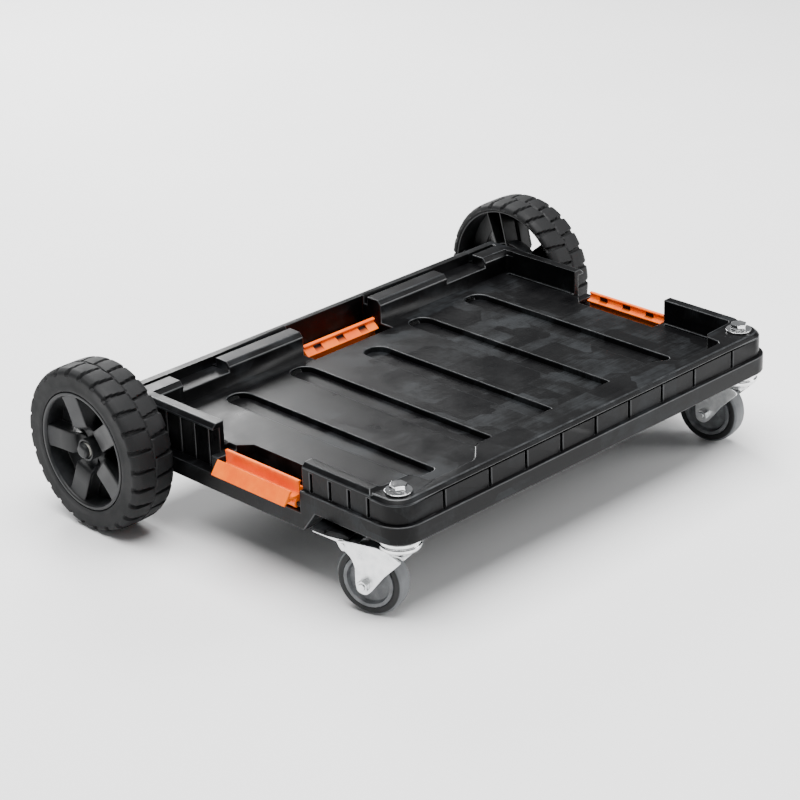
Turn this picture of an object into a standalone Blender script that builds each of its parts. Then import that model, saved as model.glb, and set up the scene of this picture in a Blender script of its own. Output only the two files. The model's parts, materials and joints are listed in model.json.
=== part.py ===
"""Rolling platform for stacking tool boxes: a black moulded deck with three clip-on latches,
two big spoked rear wheels on a through axle and two braked swivel castors in front.

Metres, +Z up.  X runs along the long side, the castors stand at the front (-Y) and the rear
wheels at the back (+Y).  The origin is on the floor under the middle of the whole object.
"""

import math

import bmesh
import bpy
from mathutils import Matrix, Vector

# ---- fits ----
GAP = 0.0003
RUNNING = 0.0004
FAR = 0.060

# ---- overall sizes ----
SKIRT_HALF_X = 0.3115
SKIRT_FRONT_Y = -0.2697
REAR_Y = 0.1877
WHEEL_RADIUS = 0.098
CASTOR_RADIUS = 0.040

# ---- rear wheels and axle ----
WHEEL_WIDTH = 0.058
WHEEL_SIDE_GAP = 0.0085
WHEEL_OUTER_X = SKIRT_HALF_X + WHEEL_SIDE_GAP + WHEEL_WIDTH
WHEEL_X = WHEEL_OUTER_X - WHEEL_WIDTH / 2
AXLE_RADIUS = 0.006
AXLE_Y = REAR_Y - 0.016
TYRE_THICKNESS = 0.028
RIM_RADIUS = WHEEL_RADIUS - TYRE_THICKNESS
RIM_WALL = 0.0045
RIM_LIP = 0.0065
SPOKES = 5
SPOKE_WIDTH = 0.026
SPOKE_DEPTH = 0.014
SPOKE_FACE = WHEEL_WIDTH / 2 - 0.0095
BUSH_WALL = 0.002
HUB_WALL = 0.005
HUB_RADIUS = AXLE_RADIUS + BUSH_WALL + HUB_WALL
HUB_END = WHEEL_WIDTH / 2 - 0.0065
AXLE_BOSS_WALL = 0.0085
AXLE_BOSS_END_X = SKIRT_HALF_X + 0.001
AXLE_WASHER_THICKNESS = 0.0022
HUB_START_X = AXLE_BOSS_END_X + GAP + AXLE_WASHER_THICKNESS + RUNNING

# ---- castors ----
CASTOR_X = SKIRT_HALF_X - 0.0301
CASTOR_Y = SKIRT_FRONT_Y + 0.0295
CASTOR_WIDTH = 0.025
CASTOR_TRAIL = 0.034
LEFT_HEADING = math.radians(74.0)
RIGHT_HEADING = math.radians(81.0)
CASTOR_TYRE_WALL = 0.0095
TYRE_BORE = CASTOR_RADIUS - CASTOR_TYRE_WALL
AXLE_BOLT_RADIUS = 0.004
FORK_SHEET = 0.0025
FORK_HALF_WIDTH = CASTOR_WIDTH / 2 + 0.0065
FORK_TOP_Z = 2 * CASTOR_RADIUS + 0.0115
RACE_HEIGHT = 0.008
CROWN_RADIUS = 0.024
BOLT_RADIUS = 0.005
BOLT_HEAD_AF = 0.017
BOLT_HEAD_HEIGHT = 0.0064
WASHER_RADIUS = 0.015
WASHER_THICKNESS = 0.0022
POST_HALF_WIDTH = 0.015
BRAKE_ANGLE = math.radians(31.94)
BRAKE_REACH = CASTOR_RADIUS + 0.00787
BRAKE_S = CASTOR_TRAIL + BRAKE_REACH * math.sin(BRAKE_ANGLE)
BRAKE_Z = CASTOR_RADIUS + BRAKE_REACH * math.cos(BRAKE_ANGLE)
BRAKE_PIN_RADIUS = 0.0025
PEDAL_HALF_WIDTH = FORK_HALF_WIDTH - 0.0035
TREAD_HALF_WIDTH = FORK_HALF_WIDTH + 0.001

# ---- platform heights ----
SKIRT_Z = FORK_TOP_Z + RACE_HEIGHT
DEEP_Z = SKIRT_Z - 0.025
SIDE_TIER_Z = SKIRT_Z - 0.005
STEP_Z = SKIRT_Z + 0.021
DECK_Z = SKIRT_Z + 0.0235
LEDGE_Z = DECK_Z + 0.0165
FRONT_TOP_Z = DECK_Z + 0.025
WALL_TOP_Z = DECK_Z + 0.0285
EDGE_CHAMFER = 0.005
WALL = 0.003
DECK_SHEET = 0.004

# ---- latches ----
LATCH_LENGTH = 0.118
LATCH_Y = -0.0513
PIVOT_X = SKIRT_HALF_X - 0.0055
PIVOT_Z = SIDE_TIER_Z + 0.006
AXLE_COVER_Z = WHEEL_RADIUS + AXLE_RADIUS + WALL
REAR_PIVOT_Y = AXLE_Y - 0.0214
REAR_PIVOT_Z = AXLE_COVER_Z - 0.002
PIN_RADIUS = 0.0025
PIN_HOLD = 0.006
PIN_END_PLAY = 0.0005
SLOT_LENGTH = 0.012
SLOT_HEIGHT = 0.004
SLOT_PITCH = 0.037

# ---- latch pockets ----
POCKET_X = SKIRT_HALF_X - 0.0415
POCKET_REAR_Y = LATCH_Y + LATCH_LENGTH / 2 + 0.004
POCKET_CORNER = 0.013
POST_THICKNESS = 0.012
GAP_FRONT_Y = LATCH_Y - LATCH_LENGTH / 2 - 0.009
GAP_REAR_Y = POCKET_REAR_Y + POST_THICKNESS
POCKET_HALF_X = LATCH_LENGTH / 2 + 0.005
REAR_POCKET_Y = REAR_PIVOT_Y - 0.031
REAR_POCKET_END_Y = AXLE_Y - 0.0004
REAR_POCKET_Z = REAR_PIVOT_Z - 0.006
AXLE_COVER_Y = REAR_PIVOT_Y + 0.0121

# ---- platform plan ----
CORNER_RADIUS = 0.030
REAR_CORNER_RADIUS = 0.010
TIER_INSET = 0.005
WALL_INNER_X = SKIRT_HALF_X - 0.0215
SIDE_WALL_THICKNESS = 0.007
WELL_REAR_Y = REAR_Y - 0.049
RIM_FRONT_Y = SKIRT_FRONT_Y + 0.023
BAND_REAR_Y = SKIRT_FRONT_Y + 0.048
BAND_HALF_X = 0.152
BOSS_INNER_X = CASTOR_X - 0.0384
DEEP_FRONT_Y = GAP_FRONT_Y - 0.0044
DEEP_SLOPE = 0.019
LEDGE_INNER_X = 0.181
LEDGE_OUTER_X = 0.250
REAR_SLOT_Y = WELL_REAR_Y + 0.0236
REAR_SLOT_WIDTH = 0.0055
PANEL_PITCH = 0.0565
LAST_PANEL_X = BOSS_INNER_X - 0.004
SIDE_PANEL_PITCH = 0.029
PANEL_GROOVE = 0.004
WALL_RIB_PITCH = 0.024

# ---- deck grooves ----
GROOVES = 5
GROOVE_PITCH = 0.0985
GROOVE_WIDTH = 0.032
GROOVE_DEPTH = 0.007
GROOVE_FRONT_Y = BAND_REAR_Y + 0.034
OUTER_GROOVE_FRONT_Y = BAND_REAR_Y + 0.026
GROOVE_REAR_Y = WELL_REAR_Y - 0.0204
MIDDLE_GROOVE_REAR_Y = REAR_POCKET_Y - 0.024

# ---- finishes: colour, roughness, metallic ----
BLACK_PP = (0.012, 0.012, 0.013), 0.42, 0.0
ORANGE_PP = (1.0, 0.22, 0.03), 0.40, 0.0
RUBBER = (0.016, 0.016, 0.016), 0.75, 0.0
GREY_RUBBER = (0.055, 0.055, 0.056), 0.60, 0.0
RIM_BLACK = (0.022, 0.022, 0.023), 0.45, 0.0
CASTOR_GREY = (0.16, 0.16, 0.165), 0.45, 0.0
ZINC = (0.72, 0.73, 0.75), 0.30, 1.0
CHROME = (0.80, 0.80, 0.82), 0.12, 1.0
NYLON = (0.60, 0.59, 0.55), 0.45, 0.0

AROUND_X = Matrix(((0, 0, 1, 0), (1, 0, 0, 0), (0, 1, 0, 0), (0, 0, 0, 1)))
ALONG_Y = Matrix(((0, 1, 0, 0), (0, 0, 1, 0), (1, 0, 0, 0), (0, 0, 0, 1)))
AROUND_Y = Matrix(((1, 0, 0, 0), (0, 0, -1, 0), (0, 1, 0, 0), (0, 0, 0, 1)))


def start():
    """Empties the scene and makes the collections for the parts and for the cutters."""
    for obj in list(bpy.data.objects):
        bpy.data.objects.remove(obj, do_unlink=True)
    made = []
    for name in ("platform_cart", "cutters"):
        collection = bpy.data.collections.new(name)
        bpy.context.scene.collection.children.link(collection)
        made.append(collection)
    return made


PARTS, CUTTERS = start()


# ---- helpers: outlines ----
def arc(centre, radius, start_angle, end_angle, steps):
    """Points along an arc, both ends included; angles in radians."""
    turn = (end_angle - start_angle) / steps
    angles = [start_angle + i * turn for i in range(steps + 1)]
    return [(centre[0] + radius * math.cos(a), centre[1] + radius * math.sin(a)) for a in angles]


def rounded(corners, steps=6):
    """An outline through corners given as (x, y, radius), each radius replaced by an arc."""
    points = []
    for i, (x, y, radius) in enumerate(corners):
        here = Vector((x, y))
        if radius <= 0.0:
            points.append((x, y))
            continue
        before = (Vector(corners[i - 1][:2]) - here).normalized()
        after = (Vector(corners[(i + 1) % len(corners)][:2]) - here).normalized()
        half = before.angle(after) / 2
        centre = here + (before + after).normalized() * radius / math.sin(half)
        first = here + before * radius / math.tan(half) - centre
        last = here + after * radius / math.tan(half) - centre
        begin = math.atan2(first.y, first.x)
        turn = math.atan2(last.y, last.x) - begin
        turn = (turn + math.pi) % (2 * math.pi) - math.pi
        points += arc(centre, radius, begin, begin + turn, steps)
    return points


def plan(half_x, front_y, rear_y, front_radius, rear_radius, steps=6):
    """A plan outline that is symmetric about X, with its own radius at the front and the rear."""
    return rounded([(-half_x, front_y, front_radius), (half_x, front_y, front_radius),
                    (half_x, rear_y, rear_radius), (-half_x, rear_y, rear_radius)], steps)


# ---- helpers: solids ----
def finish(obj, name, look, origin=(0, 0, 0)):
    """Names a part, gives it a material and puts its origin on a joint's axis."""
    colour, roughness, metallic = look
    material = bpy.data.materials.new(name + "_finish")
    material.use_nodes = True
    shader = material.node_tree.nodes["Principled BSDF"]
    shader.inputs["Base Color"].default_value = (*colour, 1.0)
    shader.inputs["Roughness"].default_value = roughness
    shader.inputs["Metallic"].default_value = metallic
    obj.name = name
    obj.data.name = name
    obj.data.materials.clear()
    obj.data.materials.append(material)
    obj.data.transform(Matrix.Translation(-Vector(origin)))
    obj.location = origin
    return obj


def mesh_object(mesh, collection=PARTS):
    obj = bpy.data.objects.new("piece", mesh)
    collection.objects.link(obj)
    return obj


def baked(obj, place=Matrix.Identity(4)):
    """A mesh copy of an object as its modifiers or its curve settings make it, moved by place."""
    bpy.context.view_layer.update()
    graph = bpy.context.evaluated_depsgraph_get()
    mesh = bpy.data.meshes.new_from_object(obj.evaluated_get(graph))
    bpy.data.objects.remove(obj, do_unlink=True)
    tidy = bmesh.new()
    tidy.from_mesh(mesh)
    bmesh.ops.remove_doubles(tidy, verts=tidy.verts, dist=1e-6)
    bmesh.ops.recalc_face_normals(tidy, faces=tidy.faces)
    tidy.to_mesh(mesh)
    tidy.free()
    mesh.transform(place)
    return mesh_object(mesh)


def prism(outline, low, high, place=Matrix.Identity(4)):
    """A flat outline carried straight from low to high along its own normal."""
    curve = bpy.data.curves.new("outline", "CURVE")
    curve.dimensions = "2D"
    curve.fill_mode = "BOTH"
    curve.extrude = (high - low) / 2
    spline = curve.splines.new("POLY")
    spline.points.add(len(outline) - 1)
    for point, (x, y) in zip(spline.points, outline):
        point.co = (x, y, 0.0, 1.0)
    spline.use_cyclic_u = True
    obj = bpy.data.objects.new("outline", curve)
    PARTS.objects.link(obj)
    return baked(obj, place @ Matrix.Translation((0, 0, (low + high) / 2)))


def turned(profile, steps, place=Matrix.Identity(4)):
    """A profile of (radius, height), down the outer side, turned about the Z axis."""
    closed = all(radius > 0.0 for radius, height in profile)
    mesh = bpy.data.meshes.new("profile")
    count = len(profile)
    edges = [(i, i + 1) for i in range(count - 1)]
    if closed:
        edges.append((count - 1, 0))
    mesh.from_pydata([(radius, 0.0, height) for radius, height in profile], edges, [])
    obj = mesh_object(mesh)
    screw = obj.modifiers.new("turn", "SCREW")
    screw.axis = "Z"
    screw.steps = steps
    screw.render_steps = steps
    screw.use_merge_vertices = True
    screw.merge_threshold = 1e-5
    return baked(obj, place)


def boxes(sizes):
    """One mesh of separate boxes, each given as (x0, x1, y0, y1, z0, z1)."""
    made = bmesh.new()
    for x0, x1, y0, y1, z0, z1 in sizes:
        middle = Vector(((x0 + x1) / 2, (y0 + y1) / 2, (z0 + z1) / 2))
        size = Matrix.Diagonal((x1 - x0, y1 - y0, z1 - z0, 1.0))
        bmesh.ops.create_cube(made, size=1.0, matrix=Matrix.Translation(middle) @ size)
    mesh = bpy.data.meshes.new("boxes")
    made.to_mesh(mesh)
    made.free()
    return mesh_object(mesh)


def rod(radius, low, high, place=Matrix.Identity(4), segments=24):
    """A plain cylinder along the local Z axis from low to high."""
    made = bmesh.new()
    middle = place @ Matrix.Translation((0, 0, (low + high) / 2))
    bmesh.ops.create_cone(made, cap_ends=True, segments=segments, radius1=radius, radius2=radius,
                          depth=high - low, matrix=middle)
    mesh = bpy.data.meshes.new("rod")
    made.to_mesh(mesh)
    made.free()
    return mesh_object(mesh)


def combine(target, other, how):
    """Cuts, joins or intersects the target with another piece, which becomes a hidden guide."""
    PARTS.objects.unlink(other)
    CUTTERS.objects.link(other)
    other.hide_render = True
    other.display_type = "WIRE"
    step = target.modifiers.new(how.lower(), "BOOLEAN")
    step.operation = how
    step.solver = "EXACT"
    step.object = other


def cut(target, *others):
    for other in others:
        combine(target, other, "DIFFERENCE")


def join(target, *others):
    for other in others:
        combine(target, other, "UNION")


def chamfer_top(obj, top, width):
    """Cuts a flat chamfer along the edges of the face at height top."""
    edit = bmesh.new()
    edit.from_mesh(obj.data)
    edges = [edge for edge in edit.edges
             if all(abs(vert.co.z - top) < 1e-6 for vert in edge.verts)
             and any(abs(face.normal.z) < 0.5 for face in edge.link_faces)]
    bmesh.ops.bevel(edit, geom=edges, offset=width, segments=1, affect="EDGES", profile=0.5)
    edit.to_mesh(obj.data)
    edit.free()


def smooth(obj, angle=math.radians(35)):
    """Smooth shading for a round piece, with its sharp edges kept."""
    obj.data.shade_smooth()
    obj.data.set_sharp_from_angle(angle=angle)
    return obj


def at(x, y, z):
    return Matrix.Translation((x, y, z))


# ---- the platform moulding ----
def outer_tiers():
    """The moulding's outside: lower tier, front tier, wall tier and the deep rear part."""
    base = prism(plan(SKIRT_HALF_X, SKIRT_FRONT_Y, REAR_Y, CORNER_RADIUS, REAR_CORNER_RADIUS),
                 SKIRT_Z, STEP_Z)
    inner_radius = CORNER_RADIUS - TIER_INSET
    tier_x = SKIRT_HALF_X - TIER_INSET
    tier_front = SKIRT_FRONT_Y + TIER_INSET
    step_y = BAND_REAR_Y - 0.002
    front = prism(plan(tier_x, tier_front, step_y + 0.020, inner_radius, 0.0),
                  SKIRT_Z + 0.010, FRONT_TOP_Z)
    chamfer_top(front, FRONT_TOP_Z, EDGE_CHAMFER)
    walls = prism(plan(tier_x, step_y, REAR_Y - TIER_INSET, 0.0, REAR_CORNER_RADIUS - 0.002),
                  SKIRT_Z + 0.010, WALL_TOP_Z)
    chamfer_top(walls, WALL_TOP_Z, EDGE_CHAMFER)
    slope_y = DEEP_FRONT_Y - DEEP_SLOPE
    deep = prism(plan(SKIRT_HALF_X, slope_y, REAR_Y, 0.0, REAR_CORNER_RADIUS),
                 DEEP_Z, SKIRT_Z + 0.004)
    rise = SKIRT_Z - DEEP_Z
    below = 0.010
    foot_y = DEEP_FRONT_Y + DEEP_SLOPE * below / rise
    wedge = prism([(slope_y - below, DEEP_Z - below), (foot_y, DEEP_Z - below),
                   (slope_y, SKIRT_Z), (slope_y - below, SKIRT_Z)],
                  -SKIRT_HALF_X - below, SKIRT_HALF_X + below, AROUND_X)
    cut(deep, wedge)
    join(base, front, walls, deep)
    return base


def well_cutter():
    """The tray above the deck: its front edge follows the wide band, the rim and the bosses."""
    half = [(WALL_INNER_X, WELL_REAR_Y, 0.004), (WALL_INNER_X, BAND_REAR_Y + 0.002, 0.003),
            (BOSS_INNER_X, BAND_REAR_Y + 0.001, 0.008), (BOSS_INNER_X - 0.003, RIM_FRONT_Y, 0.008),
            (BAND_HALF_X + 0.022, RIM_FRONT_Y, 0.018), (BAND_HALF_X - 0.004, BAND_REAR_Y, 0.014)]
    other = [(-x, y, radius) for x, y, radius in reversed(half)]
    return prism(rounded(other + half, 5), DECK_Z, WALL_TOP_Z + 0.010)


def groove_centres():
    return [(i - (GROOVES - 1) / 2) * GROOVE_PITCH for i in range(GROOVES)]


def groove_cutters():
    """The long recesses in the deck, with round rear ends."""
    cutters = []
    half = GROOVE_WIDTH / 2
    for i, x in enumerate(groove_centres()):
        outer = i in (0, GROOVES - 1)
        front = OUTER_GROOVE_FRONT_Y if outer else GROOVE_FRONT_Y
        rear = MIDDLE_GROOVE_REAR_Y if abs(x) < half else GROOVE_REAR_Y
        end = [(px, py, 0.0) for px, py in arc((x, rear - half), half, 0.0, math.pi, 10)]
        outline = rounded([(x - half, front, 0.006), (x + half, front, 0.006)] + end, 3)
        cutters.append(prism(outline, DECK_Z - GROOVE_DEPTH, DECK_Z + 0.010))
    return cutters


def side_gap_cutters(side):
    """The latch pocket, the low post behind it and the recess in the rear side wall."""
    far = side * (SKIRT_HALF_X + FAR)
    top = WALL_TOP_Z + 0.010
    pocket = [(POCKET_X, GAP_FRONT_Y), (SKIRT_HALF_X + FAR, GAP_FRONT_Y),
              (SKIRT_HALF_X + FAR, POCKET_REAR_Y), (POCKET_X + POCKET_CORNER, POCKET_REAR_Y),
              (POCKET_X, POCKET_REAR_Y - POCKET_CORNER)]
    outline = [(side * x, y) for x, y in pocket]
    cutters = [prism(outline[::side], SIDE_TIER_Z, top)]
    recess_x = side * (WALL_INNER_X + SIDE_WALL_THICKNESS)
    spans = [
        (side * (WALL_INNER_X - 0.006), far, POCKET_REAR_Y - 0.002, GAP_REAR_Y, DECK_Z - 0.006, top),
        (recess_x, far, GAP_REAR_Y - 0.001, REAR_Y + FAR, SIDE_TIER_Z, WALL_TOP_Z - 0.007),
    ]
    for x0, x1, y0, y1, z0, z1 in spans:
        cutters.append(boxes([(min(x0, x1), max(x0, x1), y0, y1, z0, z1)]))
    return cutters


def wall_ribs(side):
    """Thin upright ribs on the outside of the rear side wall."""
    face = WALL_INNER_X + SIDE_WALL_THICKNESS
    sizes = []
    for i in range(5):
        y = GAP_REAR_Y + 0.016 + i * WALL_RIB_PITCH
        x0, x1 = sorted((side * (face - 0.002), side * (face + 0.002)))
        sizes.append((x0, x1, y, y + 0.003, SIDE_TIER_Z - 0.002, WALL_TOP_Z - 0.005))
    return boxes(sizes)


def rear_wall_cutters():
    """Ledges between the blocks, the slot behind them and the pocket of the rear latch."""
    top = WALL_TOP_Z + 0.010
    sizes = []
    slot_front = REAR_SLOT_Y
    slot_rear = REAR_SLOT_Y + REAR_SLOT_WIDTH
    for side in (-1, 1):
        x0, x1 = sorted((side * LEDGE_INNER_X, side * LEDGE_OUTER_X))
        sizes.append((x0, x1, WELL_REAR_Y - 0.005, slot_rear, LEDGE_Z, top))
        for near, far in ((POCKET_HALF_X - 0.002, LEDGE_INNER_X + 0.0005),
                          (LEDGE_OUTER_X - 0.0005, WALL_INNER_X + 0.004)):
            x0, x1 = sorted((side * near, side * far))
            sizes.append((x0, x1, slot_front, slot_rear + 0.0001, LEDGE_Z + 0.002, top))
    half = POCKET_HALF_X
    gap = boxes([(-half, half, REAR_POCKET_Y, AXLE_COVER_Y, REAR_POCKET_Z, top)])
    cover = boxes([(-half, half, AXLE_COVER_Y - 0.001, REAR_POCKET_END_Y, AXLE_COVER_Z, top)])
    chamfers = []
    for near, far in ((POCKET_HALF_X, LEDGE_INNER_X), (LEDGE_OUTER_X, WALL_INNER_X + 0.001)):
        for side in (-1, 1):
            x0, x1 = sorted((side * near, side * far))
            outline = [(WELL_REAR_Y - 0.010, WALL_TOP_Z - 0.006), (WELL_REAR_Y, WALL_TOP_Z - 0.006),
                       (WELL_REAR_Y + 0.005, WALL_TOP_Z), (WELL_REAR_Y + 0.009, WALL_TOP_Z + 0.0048),
                       (WELL_REAR_Y - 0.010, WALL_TOP_Z + 0.0048)]
            chamfers.append(prism(outline, x0, x1, AROUND_X))
    return [boxes([size]) for size in sizes] + [gap, cover] + chamfers


def divider_cutters():
    """Narrow upright grooves that divide the upper tier into panels."""
    low, high = STEP_Z, FRONT_TOP_Z - EDGE_CHAMFER - 0.0005
    face_y = SKIRT_FRONT_Y + TIER_INSET
    face_x = SKIRT_HALF_X - TIER_INSET
    half, depth = PANEL_GROOVE / 2, 0.003
    sizes = []
    for i in range(-4, 5):
        x = i * PANEL_PITCH if abs(i) < 4 else math.copysign(LAST_PANEL_X, i)
        sizes.append((x - half, x + half, face_y - 0.010, face_y + depth, low, high))
    for side in (-1, 1):
        for i in range(4):
            y = GAP_FRONT_Y - 0.014 - i * SIDE_PANEL_PITCH
            x0, x1 = sorted((side * (face_x - depth), side * (face_x + 0.010)))
            sizes.append((x0, x1, y - half, y + half, low, high))
    return boxes(sizes)


def cavity_cutters():
    """The hollow underside: rows of cells that leave ribs, the deck sheet and the groove floors."""
    low = DEEP_Z - 0.010
    deck_under = DECK_Z - DECK_SHEET
    groove_under = DECK_Z - GROOVE_DEPTH - DECK_SHEET + 0.0005
    half_rib = WALL / 2
    half_groove = GROOVE_WIDTH / 2 + DECK_SHEET
    columns = []
    for x in groove_centres():
        columns.append((x - half_groove + half_rib, x + half_groove - half_rib, True))
        if x < max(groove_centres()):
            columns.append((x + half_groove + half_rib,
                            x + GROOVE_PITCH - half_groove - half_rib, False))
    outer = groove_centres()[-1] + half_groove + half_rib
    inner_wall = POCKET_X - WALL
    columns += [(outer, inner_wall, False), (-inner_wall, -outer, False)]
    first, last = RIM_FRONT_Y, REAR_POCKET_Y - WALL
    first_end = OUTER_GROOVE_FRONT_Y + 0.0034
    rows = [(first, first_end - WALL)]
    pitch = (last - first_end) / 5
    rows += [(first_end + i * pitch, first_end + (i + 1) * pitch - WALL) for i in range(5)]
    cells = []
    for number, (y0, y1) in enumerate(rows):
        for x0, x1, groove in columns:
            under_groove = groove and (number > 0 or abs(x0 + x1) > 3 * GROOVE_PITCH)
            cells.append((x0, x1, y0, y1, SKIRT_Z - 0.008, groove_under if under_groove else deck_under))
    opened = (-inner_wall, inner_wall, DEEP_FRONT_Y - FAR, last - WALL, low, SKIRT_Z + 0.002)
    return boxes(cells), boxes([opened])


def both_sides(spans):
    """Boxes given for the right side, with their reflections on the left."""
    sizes = []
    for x0, x1, y0, y1, z0, z1 in spans:
        sizes += [(x0, x1, y0, y1, z0, z1), (-x1, -x0, y0, y1, z0, z1)]
    return boxes(sizes)


def band_cavity_cutters():
    """Hollows inside the front band, the front rim and beside the corner posts."""
    low = DEEP_Z - 0.010
    pitch = (BOSS_INNER_X + 2 * WALL) / 4.5
    half = (pitch - WALL) / 2
    front = SKIRT_FRONT_Y + TIER_INSET + WALL
    top = FRONT_TOP_Z - EDGE_CHAMFER
    rim = [(i * pitch - half, i * pitch + half, front, RIM_FRONT_Y - WALL, low, top)
           for i in range(-4, 5)]
    band_pitch = 2 * (BAND_HALF_X - 2 * WALL) / 5
    band_half = (band_pitch - WALL) / 2
    band = [(i * band_pitch - band_half, i * band_pitch + band_half, RIM_FRONT_Y + 0.0005,
             BAND_REAR_Y - WALL, DECK_Z - 0.010, FRONT_TOP_Z - WALL) for i in range(-2, 3)]
    post = CASTOR_X - POST_HALF_WIDTH
    corner = [(BOSS_INNER_X + 2 * WALL, post, RIM_FRONT_Y + 0.0005, BAND_REAR_Y - WALL,
               DECK_Z - 0.010, FRONT_TOP_Z - WALL)]
    return [boxes(rim), boxes(band), both_sides(corner)]


def side_cavity_cutters():
    """Hollows inside the side frames: under the pockets, the ledges and the front walls."""
    low = DEEP_Z - 0.010
    inner, outer = POCKET_X, SKIRT_HALF_X - WALL
    foot = WALL_INNER_X - WALL
    floor = SIDE_TIER_Z - WALL
    deck_under = DECK_Z - DECK_SHEET
    beam_front = REAR_POCKET_Y - WALL
    middle = (GAP_FRONT_Y + POCKET_REAR_Y) / 2
    rear_middle = (GAP_REAR_Y + beam_front) / 2
    below = [(inner, outer, GAP_FRONT_Y, middle, low, floor),
             (inner, outer, middle + WALL, POCKET_REAR_Y - WALL, low, floor),
             (inner, outer, GAP_REAR_Y + WALL, rear_middle, low, floor),
             (inner, outer, rear_middle + WALL, beam_front - WALL, low, floor)]
    front_start = CASTOR_Y + POST_HALF_WIDTH + WALL
    front_middle = (front_start + GAP_FRONT_Y) / 2
    front_end = GAP_FRONT_Y - 3 * WALL - PIN_HOLD
    ledges = [(inner + 0.0005, foot, front_start, front_middle, low, deck_under),
              (inner + 0.0005, foot, front_middle + WALL, front_end, low, deck_under),
              (inner + 0.0005, foot, GAP_REAR_Y + WALL, rear_middle, floor - 0.002, deck_under),
              (inner + 0.0005, foot, rear_middle + WALL, beam_front - WALL, floor - 0.002, deck_under)]
    wall_x0, wall_x1 = WALL_INNER_X + WALL, SKIRT_HALF_X - TIER_INSET - 2 * WALL
    top = WALL_TOP_Z - EDGE_CHAMFER
    walls = [(wall_x0, wall_x1, front_start, front_middle, low, top),
             (wall_x0, wall_x1, front_middle + WALL, front_end, low, top)]
    return [both_sides(below), both_sides(ledges), both_sides(walls)]


def beam_cavity_cutters():
    """Hollows inside the rear beam, with ribs that carry the axle."""
    low = DEEP_Z - 0.010
    front, rear = REAR_POCKET_Y - WALL, REAR_Y - 2 * WALL
    first, last = POCKET_HALF_X + WALL, WALL_INNER_X + SIDE_WALL_THICKNESS
    edges = [first + i * (last - first) / 4 for i in range(5)]
    spans = list(zip(edges, edges[1:]))
    under = [(x0, x1 - WALL, front, rear, low, DECK_Z - DECK_SHEET) for x0, x1 in spans]
    under.append((edges[-1], SKIRT_HALF_X - WALL, front, rear, low, SIDE_TIER_Z - WALL))
    behind = [(x0 + 0.0004, x1 - WALL - 0.0004, WELL_REAR_Y + WALL, rear - 0.0004,
               DECK_Z - 0.008, LEDGE_Z - WALL) for x0, x1 in spans]
    blocks = [(x0 + 0.004, x1 - WALL - 0.004, WELL_REAR_Y + 2 * WALL, REAR_SLOT_Y - WALL,
               LEDGE_Z - 0.008, WALL_TOP_Z - WALL) for x0, x1 in (edges[0:2], edges[1:3])]
    pocket, cover = [], []
    middle = POCKET_HALF_X / 2
    for x0, x1 in ((WALL / 2, middle - WALL / 2), (middle + WALL / 2, POCKET_HALF_X)):
        pocket.append((x0, x1, front, AXLE_COVER_Y + 0.002, low, REAR_POCKET_Z - WALL))
        cover.append((x0, x1, AXLE_COVER_Y + 0.0025, rear, low - 0.002, AXLE_COVER_Z - WALL))
    return [both_sides(group) for group in (under, behind, blocks, pocket, cover)]


def foot_groove_cutters():
    """A dark shadow groove along the foot of each side wall."""
    near, far = WALL_INNER_X - 0.007, WALL_INNER_X - 0.003
    front = (near, far, BAND_REAR_Y + 0.004, GAP_FRONT_Y - 0.006, DECK_Z - 0.003, DECK_Z + 0.010)
    rear = (near, far, GAP_REAR_Y + 0.006, WELL_REAR_Y - 0.006, DECK_Z - 0.002, DECK_Z + 0.010)
    return both_sides([front]), both_sides([rear])


def latch_pin_spans():
    """Each hinge pin's name, frame with the pin along local Z, and its two ends."""
    front, rear = GAP_FRONT_Y - PIN_HOLD, POCKET_REAR_Y + PIN_HOLD
    reach = POCKET_HALF_X + PIN_HOLD
    return [("left", at(-PIVOT_X, 0, PIVOT_Z) @ ALONG_Y, front, rear),
            ("right", at(PIVOT_X, 0, PIVOT_Z) @ ALONG_Y, front, rear),
            ("rear", at(0, REAR_PIVOT_Y, REAR_PIVOT_Z) @ AROUND_X, -reach, reach)]


def platform():
    """The whole black moulding: deck, skirt, walls, blocks and hollow underside."""
    body = outer_tiers()
    cut(body, well_cutter(), *groove_cutters())
    for side in (-1, 1):
        cut(body, *side_gap_cutters(side))
    cut(body, *rear_wall_cutters())
    cut(body, divider_cutters(), *foot_groove_cutters())
    cut(body, *cavity_cutters())
    cut(body, *band_cavity_cutters(), *side_cavity_cutters(), *beam_cavity_cutters())
    for side in (-1, 1):
        join(body, wall_ribs(side))
        boss = sorted((side * (WALL_INNER_X + 0.0055), side * AXLE_BOSS_END_X))
        join(body, rod(AXLE_RADIUS + AXLE_BOSS_WALL, *boss, at(0, AXLE_Y, WHEEL_RADIUS) @ AROUND_X, 20))
    axle_bore = rod(AXLE_RADIUS + GAP, -SKIRT_HALF_X - 0.010, SKIRT_HALF_X + 0.010,
                    at(0, AXLE_Y, WHEEL_RADIUS) @ AROUND_X, 12)
    cut(body, axle_bore)
    for side in (-1, 1):
        cut(body, rod(BOLT_RADIUS + RUNNING, SKIRT_Z - 0.010, FRONT_TOP_Z + 0.010,
                      at(side * CASTOR_X, CASTOR_Y, 0), 12))
    for _, frame, low, high in latch_pin_spans():
        cut(body, rod(PIN_RADIUS + GAP, low - PIN_END_PLAY, high + PIN_END_PLAY, frame, 12))
    return finish(body, "platform", BLACK_PP)


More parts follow.
